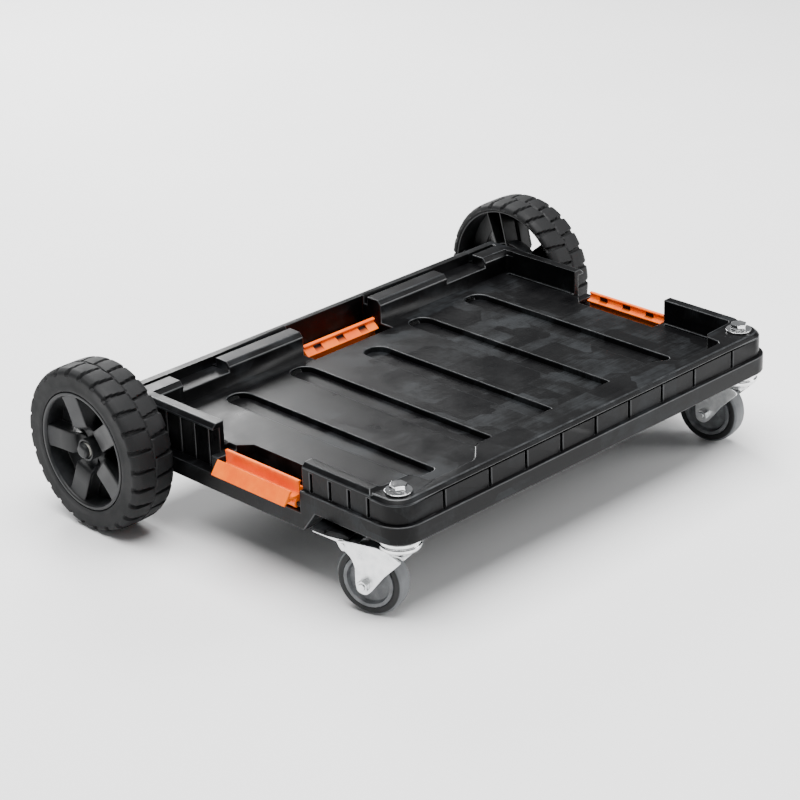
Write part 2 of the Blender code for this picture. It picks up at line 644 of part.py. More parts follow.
# ---- latches ----
def latch_section(short):
    """The latch's section as (outward, up) from its pivot: plate, inward hook, web and flap."""
    foot = [(-6.0, -2.5), (-3.5, -4.7), (2.5, -4.7), (4.7, -2.0), (4.7, 2.5), (1.5, 6.0)]
    short_flap = [(12.0, 6.8), (15.2, 10.3), (9.6, 18.0), (7.0, 16.4), (11.2, 10.6)]
    long_flap = [(15.4, 5.2), (18.0, 1.8), (20.4, 3.2), (9.6, 18.0), (7.0, 16.4), (12.2, 9.5)]
    plate = [(-1.5, 9.8), (-2.6, 12.0), (-2.6, 25.0), (-4.0, 26.0), (-10.5, 25.0), (-11.0, 22.6),
             (-6.0, 21.0)]
    flap = short_flap if short else long_flap
    return [(u / 1000, w / 1000) for u, w in foot + flap + plate]


def latch(name, place, pivot, short):
    """A clip-on lever with three slots in its plate, bored for its hinge pin."""
    half = LATCH_LENGTH / 2
    body = prism(latch_section(short), -half, half)
    slots = []
    for i in (-1, 0, 1):
        middle = i * SLOT_PITCH
        slots.append((-0.009, 0.0, 0.0150, 0.0150 + SLOT_HEIGHT, middle - SLOT_LENGTH / 2,
                      middle + SLOT_LENGTH / 2))
    cutter = boxes(slots)
    bore = rod(PIN_RADIUS + GAP, -half - 0.010, half + 0.010, Matrix.Identity(4), 12)
    for piece in (body, cutter, bore):
        piece.data.transform(place)
    cut(body, cutter, bore)
    return finish(body, name, ORANGE_PP, pivot)


def latches():
    """Three latches on steel pins: one on each side and one in the rear wall."""
    pivots = {"left": (-PIVOT_X, LATCH_Y, PIVOT_Z), "right": (PIVOT_X, LATCH_Y, PIVOT_Z),
              "rear": (0.0, REAR_PIVOT_Y, REAR_PIVOT_Z)}
    turn_left = Matrix(((-1, 0, 0, 0), (0, 0, 1, 0), (0, 1, 0, 0), (0, 0, 0, 1)))
    latch("latch_left", at(*pivots["left"]) @ turn_left, pivots["left"], False)
    latch("latch_right", at(*pivots["right"]) @ AROUND_Y, pivots["right"], False)
    latch("latch_rear", at(*pivots["rear"]) @ AROUND_X, pivots["rear"], True)
    for name, frame, low, high in latch_pin_spans():
        pin = rod(PIN_RADIUS, low, high, frame, 12)
        finish(smooth(pin), "latch_pin_" + name, ZINC, pivots[name])


# ---- rear wheels ----
def rear_tyre(name, centre):
    """A wide rubber tyre with rounded shoulders on a rim seat."""
    half = WHEEL_WIDTH / 2
    bore = RIM_RADIUS + GAP
    shoulder = 0.006
    profile = [(WHEEL_RADIUS - shoulder, half), (WHEEL_RADIUS, half - shoulder),
               (WHEEL_RADIUS, -half + shoulder), (WHEEL_RADIUS - shoulder, -half),
               (bore, -half), (bore, half)]
    body = turned(profile, 36, at(*centre) @ AROUND_X)
    finish(smooth(body), name, RUBBER, centre)


def rear_rim(name, side, centre):
    """A moulded rim: barrel with an outer lip, a spoked disc and a long hub."""
    half = WHEEL_WIDTH / 2 - 0.001
    inner = RIM_RADIUS - RIM_WALL
    barrel = turned([(RIM_RADIUS, half), (RIM_RADIUS, -half), (inner, -half), (inner, half - 0.004),
                     (RIM_RADIUS - RIM_LIP, half - 0.004), (RIM_RADIUS - RIM_LIP, half)], 36)
    disc_low, disc_high = SPOKE_FACE - SPOKE_DEPTH, SPOKE_FACE
    disc = rod(inner + 0.002, disc_low, disc_high, Matrix.Identity(4), 36)
    gap_in = SPOKE_WIDTH / 2 / math.sin(math.pi / SPOKES)
    edge = math.asin(SPOKE_WIDTH / 2 / (inner - 0.004))
    for i in range(SPOKES):
        middle = 2 * math.pi * (i + 0.5) / SPOKES - math.pi / 2
        half_turn = math.pi / SPOKES - edge
        outline = arc((0, 0), inner - 0.004, middle - half_turn, middle + half_turn, 4)
        outline.append(((gap_in + 0.002) * math.cos(middle), (gap_in + 0.002) * math.sin(middle)))
        cut(disc, prism(outline, disc_low - 0.010, disc_high + 0.010))
    hub_low = HUB_START_X - WHEEL_X
    hub = rod(HUB_RADIUS, hub_low, HUB_END, Matrix.Identity(4), 16)
    join(disc, hub)
    join(disc, barrel)
    cut(disc, rod(AXLE_RADIUS + BUSH_WALL + 2 * GAP, hub_low - 0.010, HUB_END + 0.010, segments=16))
    turn = AROUND_X if side > 0 else Matrix.Diagonal((-1.0, 1.0, 1.0, 1.0)) @ AROUND_X
    body = baked(disc, at(*centre) @ turn)
    if side < 0:
        body.data.flip_normals()
    finish(smooth(body), name, RIM_BLACK, centre)


def rear_wheel(label, side):
    """Tyre, rim, bush, inner washer and outer cap on one end of the axle."""
    centre = (side * WHEEL_X, AXLE_Y, WHEEL_RADIUS)
    rear_tyre("rear_tyre_" + label, centre)
    rear_rim("rear_rim_" + label, side, centre)
    inner = AXLE_BOSS_END_X + GAP
    outer = inner + AXLE_WASHER_THICKNESS
    outward = AROUND_X if side > 0 else Matrix.Rotation(math.pi, 4, "Z") @ AROUND_X
    axis = at(0, AXLE_Y, WHEEL_RADIUS) @ outward
    bore = AXLE_RADIUS + GAP
    hub_end = WHEEL_X + HUB_END
    washer = turned([(HUB_RADIUS, outer), (HUB_RADIUS, inner), (bore, inner), (bore, outer)], 16, axis)
    finish(smooth(washer), "rear_washer_" + label, ZINC)
    bush = turned([(bore + BUSH_WALL - GAP, hub_end), (bore + BUSH_WALL - GAP, HUB_START_X),
                   (bore, HUB_START_X), (bore, hub_end)], 16, axis)
    finish(smooth(bush), "rear_bush_" + label, NYLON, centre)
    seat = hub_end + RUNNING
    cap = turned([(0.0, seat + 0.0056), (AXLE_RADIUS, seat + 0.0056), (AXLE_RADIUS + 0.0025, seat + 0.0041),
                  (AXLE_RADIUS + 0.0035, seat), (bore, seat), (bore, seat + 0.0030),
                  (0.0, seat + 0.0030)], 16, axis)
    finish(smooth(cap), "axle_cap_" + label, ZINC)


def rear_axle():
    """One steel bar through the rear beam, from cap to cap."""
    reach = WHEEL_X + HUB_END + 0.0030
    bar = rod(AXLE_RADIUS, -reach, reach, at(0, AXLE_Y, WHEEL_RADIUS) @ AROUND_X, 16)
    finish(smooth(bar), "rear_axle", ZINC, (0, AXLE_Y, WHEEL_RADIUS))


# ---- castors ----
def hexagon(across_flats, low, high, place=Matrix.Identity(4)):
    return rod(across_flats / 2 / math.cos(math.pi / 6), low, high, place, 6)


def castor_fixed(label, side):
    """Bolt, washer, nut and the fixed upper race under the platform's corner."""
    place = at(side * CASTOR_X, CASTOR_Y, 0)
    origin = (side * CASTOR_X, CASTOR_Y, 0)
    washer_low = FRONT_TOP_Z + GAP
    washer_high = washer_low + WASHER_THICKNESS
    head_low = washer_high + GAP
    bolt = hexagon(BOLT_HEAD_AF, head_low, head_low + BOLT_HEAD_HEIGHT, place)
    shank_end = FORK_TOP_Z - FORK_SHEET - 0.011
    join(bolt, rod(BOLT_RADIUS - 0.0001, shank_end, head_low + 0.002, place, 16))
    finish(bolt, "castor_bolt_" + label, ZINC, origin)
    washer = turned([(WASHER_RADIUS, washer_high), (WASHER_RADIUS, washer_low),
                     (BOLT_RADIUS + RUNNING, washer_low), (BOLT_RADIUS + RUNNING, washer_high)],
                    20, place)
    finish(smooth(washer), "castor_washer_" + label, ZINC)
    nut_high = FORK_TOP_Z - FORK_SHEET - GAP
    nut = hexagon(BOLT_HEAD_AF, nut_high - 0.008, nut_high, place)
    cut(nut, rod(BOLT_RADIUS + GAP, nut_high - 0.020, nut_high + 0.010, place, 16))
    finish(nut, "castor_nut_" + label, ZINC)
    bore = BOLT_RADIUS + RUNNING + 0.0002
    top = SKIRT_Z - GAP
    race = turned([(0.0205, top), (CROWN_RADIUS, top - 0.0027), (CROWN_RADIUS, top - 0.0057),
                   (CROWN_RADIUS - 0.0015, top - 0.0057), (CROWN_RADIUS - 0.0015, top - 0.0033),
                   (0.0200, top - 0.0022), (bore, top - 0.0022), (bore, top)], 20, place)
    finish(smooth(race), "castor_race_fixed_" + label, CHROME)


def along_heading(side):
    """Castor frame: s runs rearward along the trail, t across the fork, z up."""
    heading = LEFT_HEADING if side < 0 else RIGHT_HEADING
    turn = Matrix.Rotation(math.pi - heading, 4, "Z")
    return at(side * CASTOR_X, CASTOR_Y, 0) @ turn


def fork_leg_outline():
    """The side plate of the fork as (s, z): crown, rear wing, straight back and round foot."""
    foot = 0.0090
    back, top = CASTOR_TRAIL, FORK_TOP_Z
    points = [(-0.0200, top), (-0.0200, top - 0.0065)]
    points += arc((back, CASTOR_RADIUS), foot, math.radians(225), math.radians(290), 4)
    points += arc((back + 0.005, CASTOR_RADIUS), foot, math.radians(300), math.radians(360), 4)
    points += [(back + 0.014, top - 0.0265), (back + 0.016, top - 0.0210), (back + 0.022, top - 0.0175),
               (back + 0.028, top - 0.0165), (back + 0.041, top - 0.0120), (back + 0.041, top - 0.0090),
               (0.0160, top)]
    return points


def castor_fork(label, side):
    """Pressed fork: two side plates, the crown plate, and holes for axle and brake pin."""
    frame = along_heading(side)
    upright = frame @ AROUND_Y
    outer, inner = FORK_HALF_WIDTH, FORK_HALF_WIDTH - FORK_SHEET
    top = prism(rounded([(-0.0205, -outer, 0.008), (0.0180, -outer, 0.0), (0.0180, outer, 0.0),
                         (-0.0205, outer, 0.008)], 4), FORK_TOP_Z - FORK_SHEET, FORK_TOP_Z, frame)
    for low, high in ((-outer, -inner), (inner, outer)):
        join(top, prism(fork_leg_outline(), low, high, upright))
    cut(top, rod(BOLT_RADIUS + RUNNING + 0.0003, FORK_TOP_Z - 0.020, FORK_TOP_Z + 0.010, frame, 12))
    axle = frame @ at(CASTOR_TRAIL, 0, CASTOR_RADIUS) @ AROUND_Y
    cut(top, rod(AXLE_BOLT_RADIUS + GAP, -0.040, 0.040, axle, 12))
    brake = frame @ at(BRAKE_S, 0, BRAKE_Z) @ AROUND_Y
    cut(top, rod(BRAKE_PIN_RADIUS + GAP, -0.040, 0.040, brake, 8))
    finish(top, "castor_fork_" + label, ZINC, (side * CASTOR_X, CASTOR_Y, 0))
    bore = BOLT_RADIUS + RUNNING + 0.0002
    low = FORK_TOP_Z + GAP
    race = turned([(0.0190, low + 0.0048), (0.0218, low + 0.0030), (0.0218, low), (bore, low),
                   (bore, low + 0.0048)], 20, frame)
    finish(smooth(race), "castor_race_swivel_" + label, CHROME, (side * CASTOR_X, CASTOR_Y, 0))


def castor_wheel(label, side):
    """Grey tyre on a ribbed hub, a bush, and the axle bolt with its nut."""
    frame = along_heading(side)
    axis = frame @ at(CASTOR_TRAIL, 0, CASTOR_RADIUS) @ AROUND_Y
    centre = axis.translation.copy()
    half = CASTOR_WIDTH / 2
    tyre = turned([(CASTOR_RADIUS - 0.004, half), (CASTOR_RADIUS - 0.001, half - 0.003),
                   (CASTOR_RADIUS, half - 0.008), (CASTOR_RADIUS, -half + 0.008),
                   (CASTOR_RADIUS - 0.001, -half + 0.003), (CASTOR_RADIUS - 0.004, -half),
                   (TYRE_BORE, -half), (TYRE_BORE, half)], 24, axis)
    finish(smooth(tyre), "castor_tyre_" + label, GREY_RUBBER, centre)
    ring, dish = TYRE_BORE - GAP, TYRE_BORE - 0.0045
    bush_outer = AXLE_BOLT_RADIUS + RUNNING + 0.0014
    bore = bush_outer + GAP
    hub_half = FORK_HALF_WIDTH - FORK_SHEET - 0.0008
    hub = turned([(ring, half), (ring, -half), (dish, -half), (dish - 0.0015, -half + 0.005),
                  (0.010, -half + 0.005), (0.008, -hub_half), (bore, -hub_half), (bore, hub_half),
                  (0.008, hub_half), (0.010, half - 0.005), (dish - 0.0015, half - 0.005),
                  (dish, half)], 24, axis)
    finish(smooth(hub), "castor_hub_" + label, CASTOR_GREY, centre)
    inner = AXLE_BOLT_RADIUS + RUNNING
    bush = turned([(bush_outer, hub_half), (bush_outer, -hub_half), (inner, -hub_half),
                   (inner, hub_half)], 12, axis)
    finish(smooth(bush), "castor_bush_" + label, NYLON, centre)
    outside = FORK_HALF_WIDTH + GAP
    bolt = hexagon(0.012, outside, outside + 0.0045, axis)
    join(bolt, rod(AXLE_BOLT_RADIUS, -outside - 0.0080, outside + 0.002, axis, 16))
    finish(bolt, "castor_axle_bolt_" + label, ZINC, centre)
    nut = hexagon(0.012, -outside - 0.0065, -outside, axis)
    cut(nut, rod(AXLE_BOLT_RADIUS + GAP, -outside - 0.020, 0.0, axis, 16))
    finish(nut, "castor_axle_nut_" + label, ZINC, centre)


def about_brake(points):
    """Points in millimetres from the brake's pivot, moved to the castor's (s, z) in metres."""
    return [(BRAKE_S + s / 1000, BRAKE_Z + z / 1000) for s, z in points]


def castor_brake(label, side):
    """Brake lever with its shoe over the wheel, its plastic tread and its pivot pin."""
    frame = along_heading(side)
    upright = frame @ AROUND_Y
    origin = (frame @ at(BRAKE_S, 0, BRAKE_Z)).translation
    shoe = [(-16, 4.0), (-16, 2.4), (-5, -0.5), (-3, -6.3), (0, -8.7), (3.5, -8.9), (7, -4.5),
            (8.5, 0.5), (20, 3.0), (38, 6.4), (39, 8.0), (20, 5.0), (2, 4.5)]
    lever = prism(about_brake(shoe), -PEDAL_HALF_WIDTH, PEDAL_HALF_WIDTH, upright)
    pivot = frame @ at(BRAKE_S, 0, BRAKE_Z) @ AROUND_Y
    cut(lever, rod(BRAKE_PIN_RADIUS + GAP, -0.040, 0.040, pivot, 8))
    finish(lever, "brake_lever_" + label, ZINC, origin)
    cover = [(-6, 4.8), (2, 4.9), (20, 5.4), (39.2, 8.5), (39.8, 9.8), (37.4, 12.1), (20, 11.4),
             (2, 11.0), (-6, 8.5)]
    body = prism(about_brake(cover), -PEDAL_HALF_WIDTH, PEDAL_HALF_WIDTH, upright)
    tread = [(20.5, 8.9), (38.8, 11.6), (36.0, 12.9), (21.5, 12.1)]
    join(body, prism(about_brake(tread), -TREAD_HALF_WIDTH, TREAD_HALF_WIDTH, upright))
    finish(body, "brake_pedal_" + label, BLACK_PP, origin)
    reach = FORK_HALF_WIDTH + 0.001
    pin = rod(BRAKE_PIN_RADIUS, -reach, reach, pivot, 12)
    finish(smooth(pin), "brake_pin_" + label, ZINC, origin)


def build():
    """Makes every part of the platform cart."""
    platform()
    latches()
    rear_axle()
    for label, side in (("left", -1), ("right", 1)):
        rear_wheel(label, side)
        castor_fixed(label, side)
        castor_fork(label, side)
        castor_wheel(label, side)
        castor_brake(label, side)


build()
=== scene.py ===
"""A low platform cart on two lugged wheels and two braked castors, dressed around its CAD frame.

Each sub-assembly is a class that reads its places from the frame, makes its meshes and dresses them.
Lengths are in metres, the cart's front faces -Y and its left side -X.
"""
import json
import logging
import math
from dataclasses import dataclass
from enum import Enum
from typing import Any, Iterable

import bmesh
import bpy
import numpy as np
from mathutils import Matrix, Vector


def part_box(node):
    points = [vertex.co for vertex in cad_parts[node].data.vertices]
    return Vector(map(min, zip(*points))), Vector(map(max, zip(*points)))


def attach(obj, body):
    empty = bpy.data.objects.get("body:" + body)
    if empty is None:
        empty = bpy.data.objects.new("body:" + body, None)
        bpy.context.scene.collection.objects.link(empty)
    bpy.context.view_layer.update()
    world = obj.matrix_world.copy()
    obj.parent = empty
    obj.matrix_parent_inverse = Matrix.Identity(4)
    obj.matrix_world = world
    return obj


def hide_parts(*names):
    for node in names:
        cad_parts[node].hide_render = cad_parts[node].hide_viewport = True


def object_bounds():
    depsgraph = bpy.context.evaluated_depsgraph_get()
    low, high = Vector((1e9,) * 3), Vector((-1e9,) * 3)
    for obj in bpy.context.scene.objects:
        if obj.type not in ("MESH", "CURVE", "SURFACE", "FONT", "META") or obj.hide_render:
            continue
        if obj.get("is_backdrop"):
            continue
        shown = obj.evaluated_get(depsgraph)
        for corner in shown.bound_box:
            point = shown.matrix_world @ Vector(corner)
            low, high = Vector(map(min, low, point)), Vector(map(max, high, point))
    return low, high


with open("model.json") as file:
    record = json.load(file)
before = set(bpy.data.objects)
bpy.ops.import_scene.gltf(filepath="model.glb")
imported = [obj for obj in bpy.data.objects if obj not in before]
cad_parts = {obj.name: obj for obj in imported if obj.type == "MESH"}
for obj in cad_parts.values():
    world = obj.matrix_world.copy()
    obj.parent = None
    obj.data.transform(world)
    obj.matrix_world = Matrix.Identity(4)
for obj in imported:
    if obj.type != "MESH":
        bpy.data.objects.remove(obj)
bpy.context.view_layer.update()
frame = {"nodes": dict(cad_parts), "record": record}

LOG = logging.getLogger("cart")
MM = 0.001
UP = np.array([0.0, 0.0, 1.0])
WELD = 2e-6              # points of a CAD mesh closer than this are one
POLE = 1e-6              # the same for a turned surface, whose ends meet on its axis
FLAT = 0.4               # degrees within which neighbouring faces count as one flat face
CAD_CREASE = 32.0        # degrees from which a CAD edge is rounded
ROUND_STEPS = 2          # faces across a rounded edge
ROOM = 0.4               # share of a neighbouring edge that a bevel may take
SLANT = 0.8              # cosine under which two edges count as meeting at an angle
LEAST_ROUND = 0.05 * MM  # a rounder edge than this isn't worth its faces

Outline = tuple[tuple[float, float], ...]


class Side(Enum):
    """The two sides of the cart, with the sign of their X."""

    LEFT = -1
    RIGHT = 1

    @property
    def word(self) -> str:
        """The side's name as the CAD nodes spell it."""
        return self.name.lower()


# ---------------------------------------------------------------- materials


def linear(code: str) -> tuple[float, float, float, float]:
    """Turn an sRGB hex colour into linear RGBA.

    Args:
        code: Six hex digits, such as "ff8232".

    Returns:
        Red, green, blue and alpha as the shader wants them.
    """
    parts = [int(code[i:i + 2], 16) / 255 for i in (0, 2, 4)]
    lin = [c / 12.92 if c <= 0.04045 else ((c + 0.055) / 1.055) ** 2.4 for c in parts]
    return (lin[0], lin[1], lin[2], 1.0)


def add(tree: bpy.types.NodeTree, kind: str, links: dict[str | int, Any] | None = None,
        **settings: Any) -> Any:
    """Add one node, set what is named and link what is given.

    Args:
        tree: The node tree that takes it.
        kind: The node's type without the "ShaderNode" in front.
        links: Input name or number to the output socket that feeds it.
        settings: Node attributes, or input values where the name is in_ and the input's name.

    Returns:
        The new node.
    """
    node = tree.nodes.new("ShaderNode" + kind)
    for key, value in settings.items():
        if key.startswith("in_"):
            name = key[3:]
            slot = int(name) if name.isdigit() else name.replace("_", " ")
            node.inputs[slot].default_value = value
        else:
            setattr(node, key, value)
    for key, socket in (links or {}).items():
        tree.links.new(socket, node.inputs[key])
    return node


def start_material(name: str) -> tuple[bpy.types.Material, bpy.types.NodeTree, Any]:
    """Make an empty material with its output and Object coordinates.

    Args:
        name: The material's name.

    Returns:
        The material, its tree, and the Object coordinate socket.
    """
    material = bpy.data.materials.new(name)
    material.use_nodes = True
    tree = material.node_tree
    tree.nodes.clear()
    return material, tree, add(tree, "TexCoord").outputs["Object"]


def ramp(tree: bpy.types.NodeTree, source: Any, stops: list[tuple[float, str]]) -> Any:
    """Feed a value through a colour ramp.

    Args:
        tree: The node tree.
        source: The value socket.
        stops: Place and sRGB hex of each stop, two or more, in order.

    Returns:
        The ramp's colour socket.
    """
    node = add(tree, "ValToRGB", {"Fac": source})
    bar = node.color_ramp
    while len(bar.elements) < len(stops):
        bar.elements.new(0.5)
    for element, (place, code) in zip(bar.elements, stops):
        element.position = place
        element.color = linear(code)
    return node.outputs["Color"]


def spread(tree: bpy.types.NodeTree, source: Any, low: float, high: float) -> Any:
    """Map a noise value of about 0.3 to 0.7 onto low to high.

    Args:
        tree: The node tree.
        source: The noise socket.
        low: What the value becomes at 0.3.
        high: What it becomes at 0.7.

    Returns:
        The mapped socket.
    """
    node = add(tree, "MapRange", {"Value": source}, in_1=0.3, in_2=0.7, in_3=low, in_4=high)
    return node.outputs["Result"]


def with_band(tree: bpy.types.NodeTree, colour: Any, ring: str) -> Any:
    """Blend a finish towards a second colour where the mesh's "band" attribute is 1.

    Args:
        tree: The node tree.
        colour: The socket of the finish's own colour.
        ring: sRGB hex of the second colour, or "" for none.

    Returns:
        The blended socket, or the given one where there is no second colour.
    """
    if not ring:
        return colour
    band = add(tree, "Attribute", attribute_name="band").outputs["Fac"]
    return add(tree, "Mix", {0: band, 6: colour}, data_type="RGBA", in_7=linear(ring)).outputs[2]


@dataclass(frozen=True)
class MouldedPlastic:
    """Injection-moulded plastic: an etched skin, cloudy gloss where the melt froze, fine scratches."""

    name: str
    deep: str
    mid: str
    haze: str
    roughness: tuple[float, float] = (0.3, 0.5)
    grain: float = 1.4 * MM      # the etched skin is 0.1 to 0.3 mm; drawn coarser so that it shows
    cloud: float = 45 * MM       # flow marks and wiped areas, hand-sized
    relief: float = 0.12 * MM
    scratch: float = 0.0         # share of the haze that runs in lines along X
    lines: tuple[float, float, float] = (14.0, 620.0, 90.0)     # per metre: about 70 mm long, 1.6 mm wide
    specular: float = 0.5
    patch: float = 0.0           # size of the squarish wiped patches on a broad flat face, 0 for none
    patch_share: float = 0.16    # how much they count beside the clouds
    ring: str = ""               # colour of the mesh's "band" attribute, where a piece has one
    stops: tuple[float, float, float] = (0.38, 0.5, 0.64)       # noise at which deep, mid and haze stand

    def build(self) -> bpy.types.Material:
        """Build the node tree.

        Returns:
            The material.
        """
        material, tree, coords = start_material(self.name)
        cloud = add(tree, "TexNoise", {"Vector": coords}, in_Scale=1 / self.cloud, in_Detail=4.0,
                    in_Roughness=0.62).outputs[0]
        grain = add(tree, "TexNoise", {"Vector": coords}, in_Scale=1 / self.grain, in_Detail=2.0).outputs[0]
        stretch = add(tree, "Mapping", {"Vector": coords}, in_Scale=self.lines)
        lines = add(tree, "TexNoise", {"Vector": stretch.outputs[0]}, in_Scale=1.0, in_Detail=3.0).outputs[0]
        haze = add(tree, "Mix", {"A": cloud, "B": lines}, data_type="FLOAT", in_0=self.scratch).outputs[0]
        if self.patch:
            cells = add(tree, "TexVoronoi", {"Vector": coords}, distance="CHEBYCHEV", in_Scale=1 / self.patch)
            value = add(tree, "SeparateColor", {"Color": cells.outputs["Color"]}).outputs[0]
            haze = add(tree, "Mix", {"A": haze, "B": value}, data_type="FLOAT",
                       in_0=self.patch_share).outputs[0]
        colour = ramp(tree, haze, list(zip(self.stops, (self.deep, self.mid, self.haze))))
        bump = add(tree, "Bump", {"Height": grain}, in_Strength=0.35, in_Distance=self.relief)
        shader = add(tree, "BsdfPrincipled", {"Base Color": with_band(tree, colour, self.ring),
                                              "Roughness": spread(tree, haze, *self.roughness),
                                              "Normal": bump.outputs[0]},
                     in_IOR=1.49, in_Specular_IOR_Level=self.specular)
        add(tree, "OutputMaterial", {"Surface": shader.outputs[0]})
        return material


@dataclass(frozen=True)
class Rubber:
    """Moulded rubber: matt, with bloom that lightens it in patches and a pebbled skin."""

    name: str
    deep: str
    bloom: str
    roughness: tuple[float, float] = (0.55, 0.75)
    pebble: float = 1.6 * MM     # the mould's pebbling is about 0.5 mm; drawn coarser so that it shows
    patch: float = 30 * MM       # bloom gathers in patches of a few centimetres
    relief: float = 0.15 * MM
    specular: float = 0.28
    ring: str = ""               # colour of the mesh's "band" attribute, where a piece has one

    def build(self) -> bpy.types.Material:
        """Build the node tree.

        Returns:
            The material.
        """
        material, tree, coords = start_material(self.name)
        patch = add(tree, "TexNoise", {"Vector": coords}, in_Scale=1 / self.patch, in_Detail=5.0,
                    in_Roughness=0.6).outputs[0]
        pebble = add(tree, "TexVoronoi", {"Vector": coords}, in_Scale=1 / self.pebble).outputs["Distance"]
        colour = ramp(tree, patch, [(0.35, self.deep), (0.7, self.bloom)])
        bump = add(tree, "Bump", {"Height": pebble}, in_Strength=0.3, in_Distance=self.relief)
        shader = add(tree, "BsdfPrincipled", {"Base Color": with_band(tree, colour, self.ring),
                                              "Roughness": spread(tree, patch, *self.roughness),
                                              "Normal": bump.outputs[0]},
                     in_IOR=1.52, in_Specular_IOR_Level=self.specular)
        add(tree, "OutputMaterial", {"Surface": shader.outputs[0]})
        return material


@dataclass(frozen=True)
class PlatedSteel:
    """Pressed or turned steel with a thin coat: bright metal with faint marks of the plating bath."""

    name: str
    dull: str
    bright: str
    roughness: tuple[float, float] = (0.2, 0.36)
    mark: float = 9 * MM         # stains of the plating bath
    brush: float = 0.8 * MM      # drawing lines are about 0.1 mm apart; drawn coarser so that they show
    stretch: float = 0.08        # the lines run up and down, twelve times as long as wide
    relief: float = 0.02 * MM

    def build(self) -> bpy.types.Material:
        """Build the node tree.

        Returns:
            The material.
        """
        material, tree, coords = start_material(self.name)
        mark = add(tree, "TexNoise", {"Vector": coords}, in_Scale=1 / self.mark, in_Detail=4.0).outputs[0]
        drawn = add(tree, "Mapping", {"Vector": coords}, in_Scale=(1.0, 1.0, self.stretch))
        brush = add(tree, "TexNoise", {"Vector": drawn.outputs[0]}, in_Scale=1 / self.brush).outputs[0]
        bump = add(tree, "Bump", {"Height": brush}, in_Strength=0.25, in_Distance=self.relief)
        colour = ramp(tree, mark, [(0.3, self.dull), (0.65, self.bright)])
        shader = add(tree, "BsdfPrincipled", {"Base Color": colour, "Normal": bump.outputs[0],
                                              "Roughness": spread(tree, mark, *self.roughness)},
                     in_Metallic=1.0)
        add(tree, "OutputMaterial", {"Surface": shader.outputs[0]})
        return material


class Finish(Enum):
    """Every finish on the cart."""

    BLACK_PP = MouldedPlastic("moulded black polypropylene", "050506", "09090a", "1d1f21", (0.26, 0.5),
                              scratch=0.3, specular=0.13, patch=62 * MM)
    # Lighter black for the platform's rounded edges: a painted highlight along every bevel.
    RUBBED_PP = MouldedPlastic("rubbed edge of black polypropylene", "141517", "1e2022", "2e3032",
                               (0.28, 0.42), cloud=20 * MM)
    # The ring colour darkens the latch's slot valleys: painted shade in the recesses.
    ORANGE_PP = MouldedPlastic("moulded orange polypropylene", "f05c00", "f66600", "fc7404", (0.34, 0.46),
                               cloud=25 * MM, relief=0.05 * MM, specular=0.3, ring="150502")
    RIM_PP = MouldedPlastic("moulded dark-grey polypropylene", "0e0f10", "161718", "222325", (0.34, 0.5),
                            cloud=30 * MM, specular=0.3)
    HUB_PP = MouldedPlastic("moulded mid-grey polypropylene", "4c4e50", "5b5d5f", "6a6c6e", (0.4, 0.55),
                            cloud=15 * MM, ring="a2a4a5")
    TYRE = Rubber("moulded black tyre rubber", "08080a", "101112")
    # The ring colour darkens the tyre's flat cheeks: painted shade on the sides of a grey tyre.
    CASTOR_TYRE = Rubber("moulded grey thermoplastic rubber", "5c5e60", "6c6e70", (0.45, 0.6),
                         patch=14 * MM, ring="151617")
    BLACKED = PlatedSteel("turned steel, black oxide", "18191a", "2a2b2c", (0.4, 0.55))
    ZINC = PlatedSteel("pressed steel, bright zinc plate", "cfd1d2", "eceded", (0.26, 0.4))
    CHROME = PlatedSteel("turned steel, chromium plate", "d4d5d6", "f2f2f2", (0.06, 0.16))
    NYLON = MouldedPlastic("moulded natural nylon", "c9c8c0", "d3d2ca", "dedcd4", (0.35, 0.5), cloud=8 * MM)

    def material(self) -> bpy.types.Material:
        """The finish's material, built once."""
        return bpy.data.materials.get(self.value.name) or self.value.build()


# ------------------------------------------------------------------- meshes


def place_piece(name: str, mesh: bpy.types.Mesh, body: str, finish: Finish,
                nodes: Iterable[str]) -> bpy.types.Object:
    """Put a finished mesh in the scene and hang it on the frame.

    Args:
        name: The piece's name.
        mesh: Its mesh, already in place in the frame.
        body: The CAD body that carries it.
        finish: What it is made of.
        nodes: The CAD nodes that it stands for.

    Returns:
        The new object.
    """
    piece = bpy.data.objects.new(name, mesh)
    bpy.context.scene.collection.objects.link(piece)
    mesh.materials.clear()
    mesh.materials.append(finish.material())
    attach(piece, body)
    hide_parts(*nodes)
    LOG.info("%s: %d faces on %s", name, len(mesh.polygons), body)
    return piece


def bevel_room(edge: bmesh.types.BMEdge, most: float) -> float:
    """Measure the shortest edge that meets another at an angle, and so limits its bevel.

    Args:
        edge: The edge to be rounded.
        most: The answer where every neighbour is longer.

    Returns:
        The length in metres.
    """
    along = (edge.verts[1].co - edge.verts[0].co).normalized()
    room = most
    for vert in edge.verts:
        for other in vert.link_edges:
            span = other.verts[1].co - other.verts[0].co
            length = span.length
            if length < room and abs(span.dot(along)) < SLANT * length:
                room = length
    return room


def mark_edges(work: bmesh.types.BMesh, crease: float, width: float) -> None:
    """Shade a mesh smooth, except over edges sharper than crease, and weigh its outer edges for a bevel.

    An edge's weight is the share of width that fits beside it, so that no bevel runs into the next one.
    Inner corners stay sharp.

    Args:
        work: The mesh being worked on.
        crease: The angle in degrees from which an edge counts as sharp.
        width: The bevel's full width, or 0 for none.
    """
    layer = work.edges.layers.float.new("bevel_weight_edge") if width else None
    limit = math.radians(crease)
    for face in work.faces:
        face.smooth = True
    for edge in work.edges:
        sharp = edge.is_manifold and edge.calc_face_angle(0.0) > limit
        weight = 0.0
        if sharp and width and edge.is_convex:
            weight = min(1.0, ROOM * bevel_room(edge, width / ROOM) / width)
            if weight * width < LEAST_ROUND:
                weight = 0.0
            edge[layer] = weight
        edge.smooth = not sharp or weight > 0.0


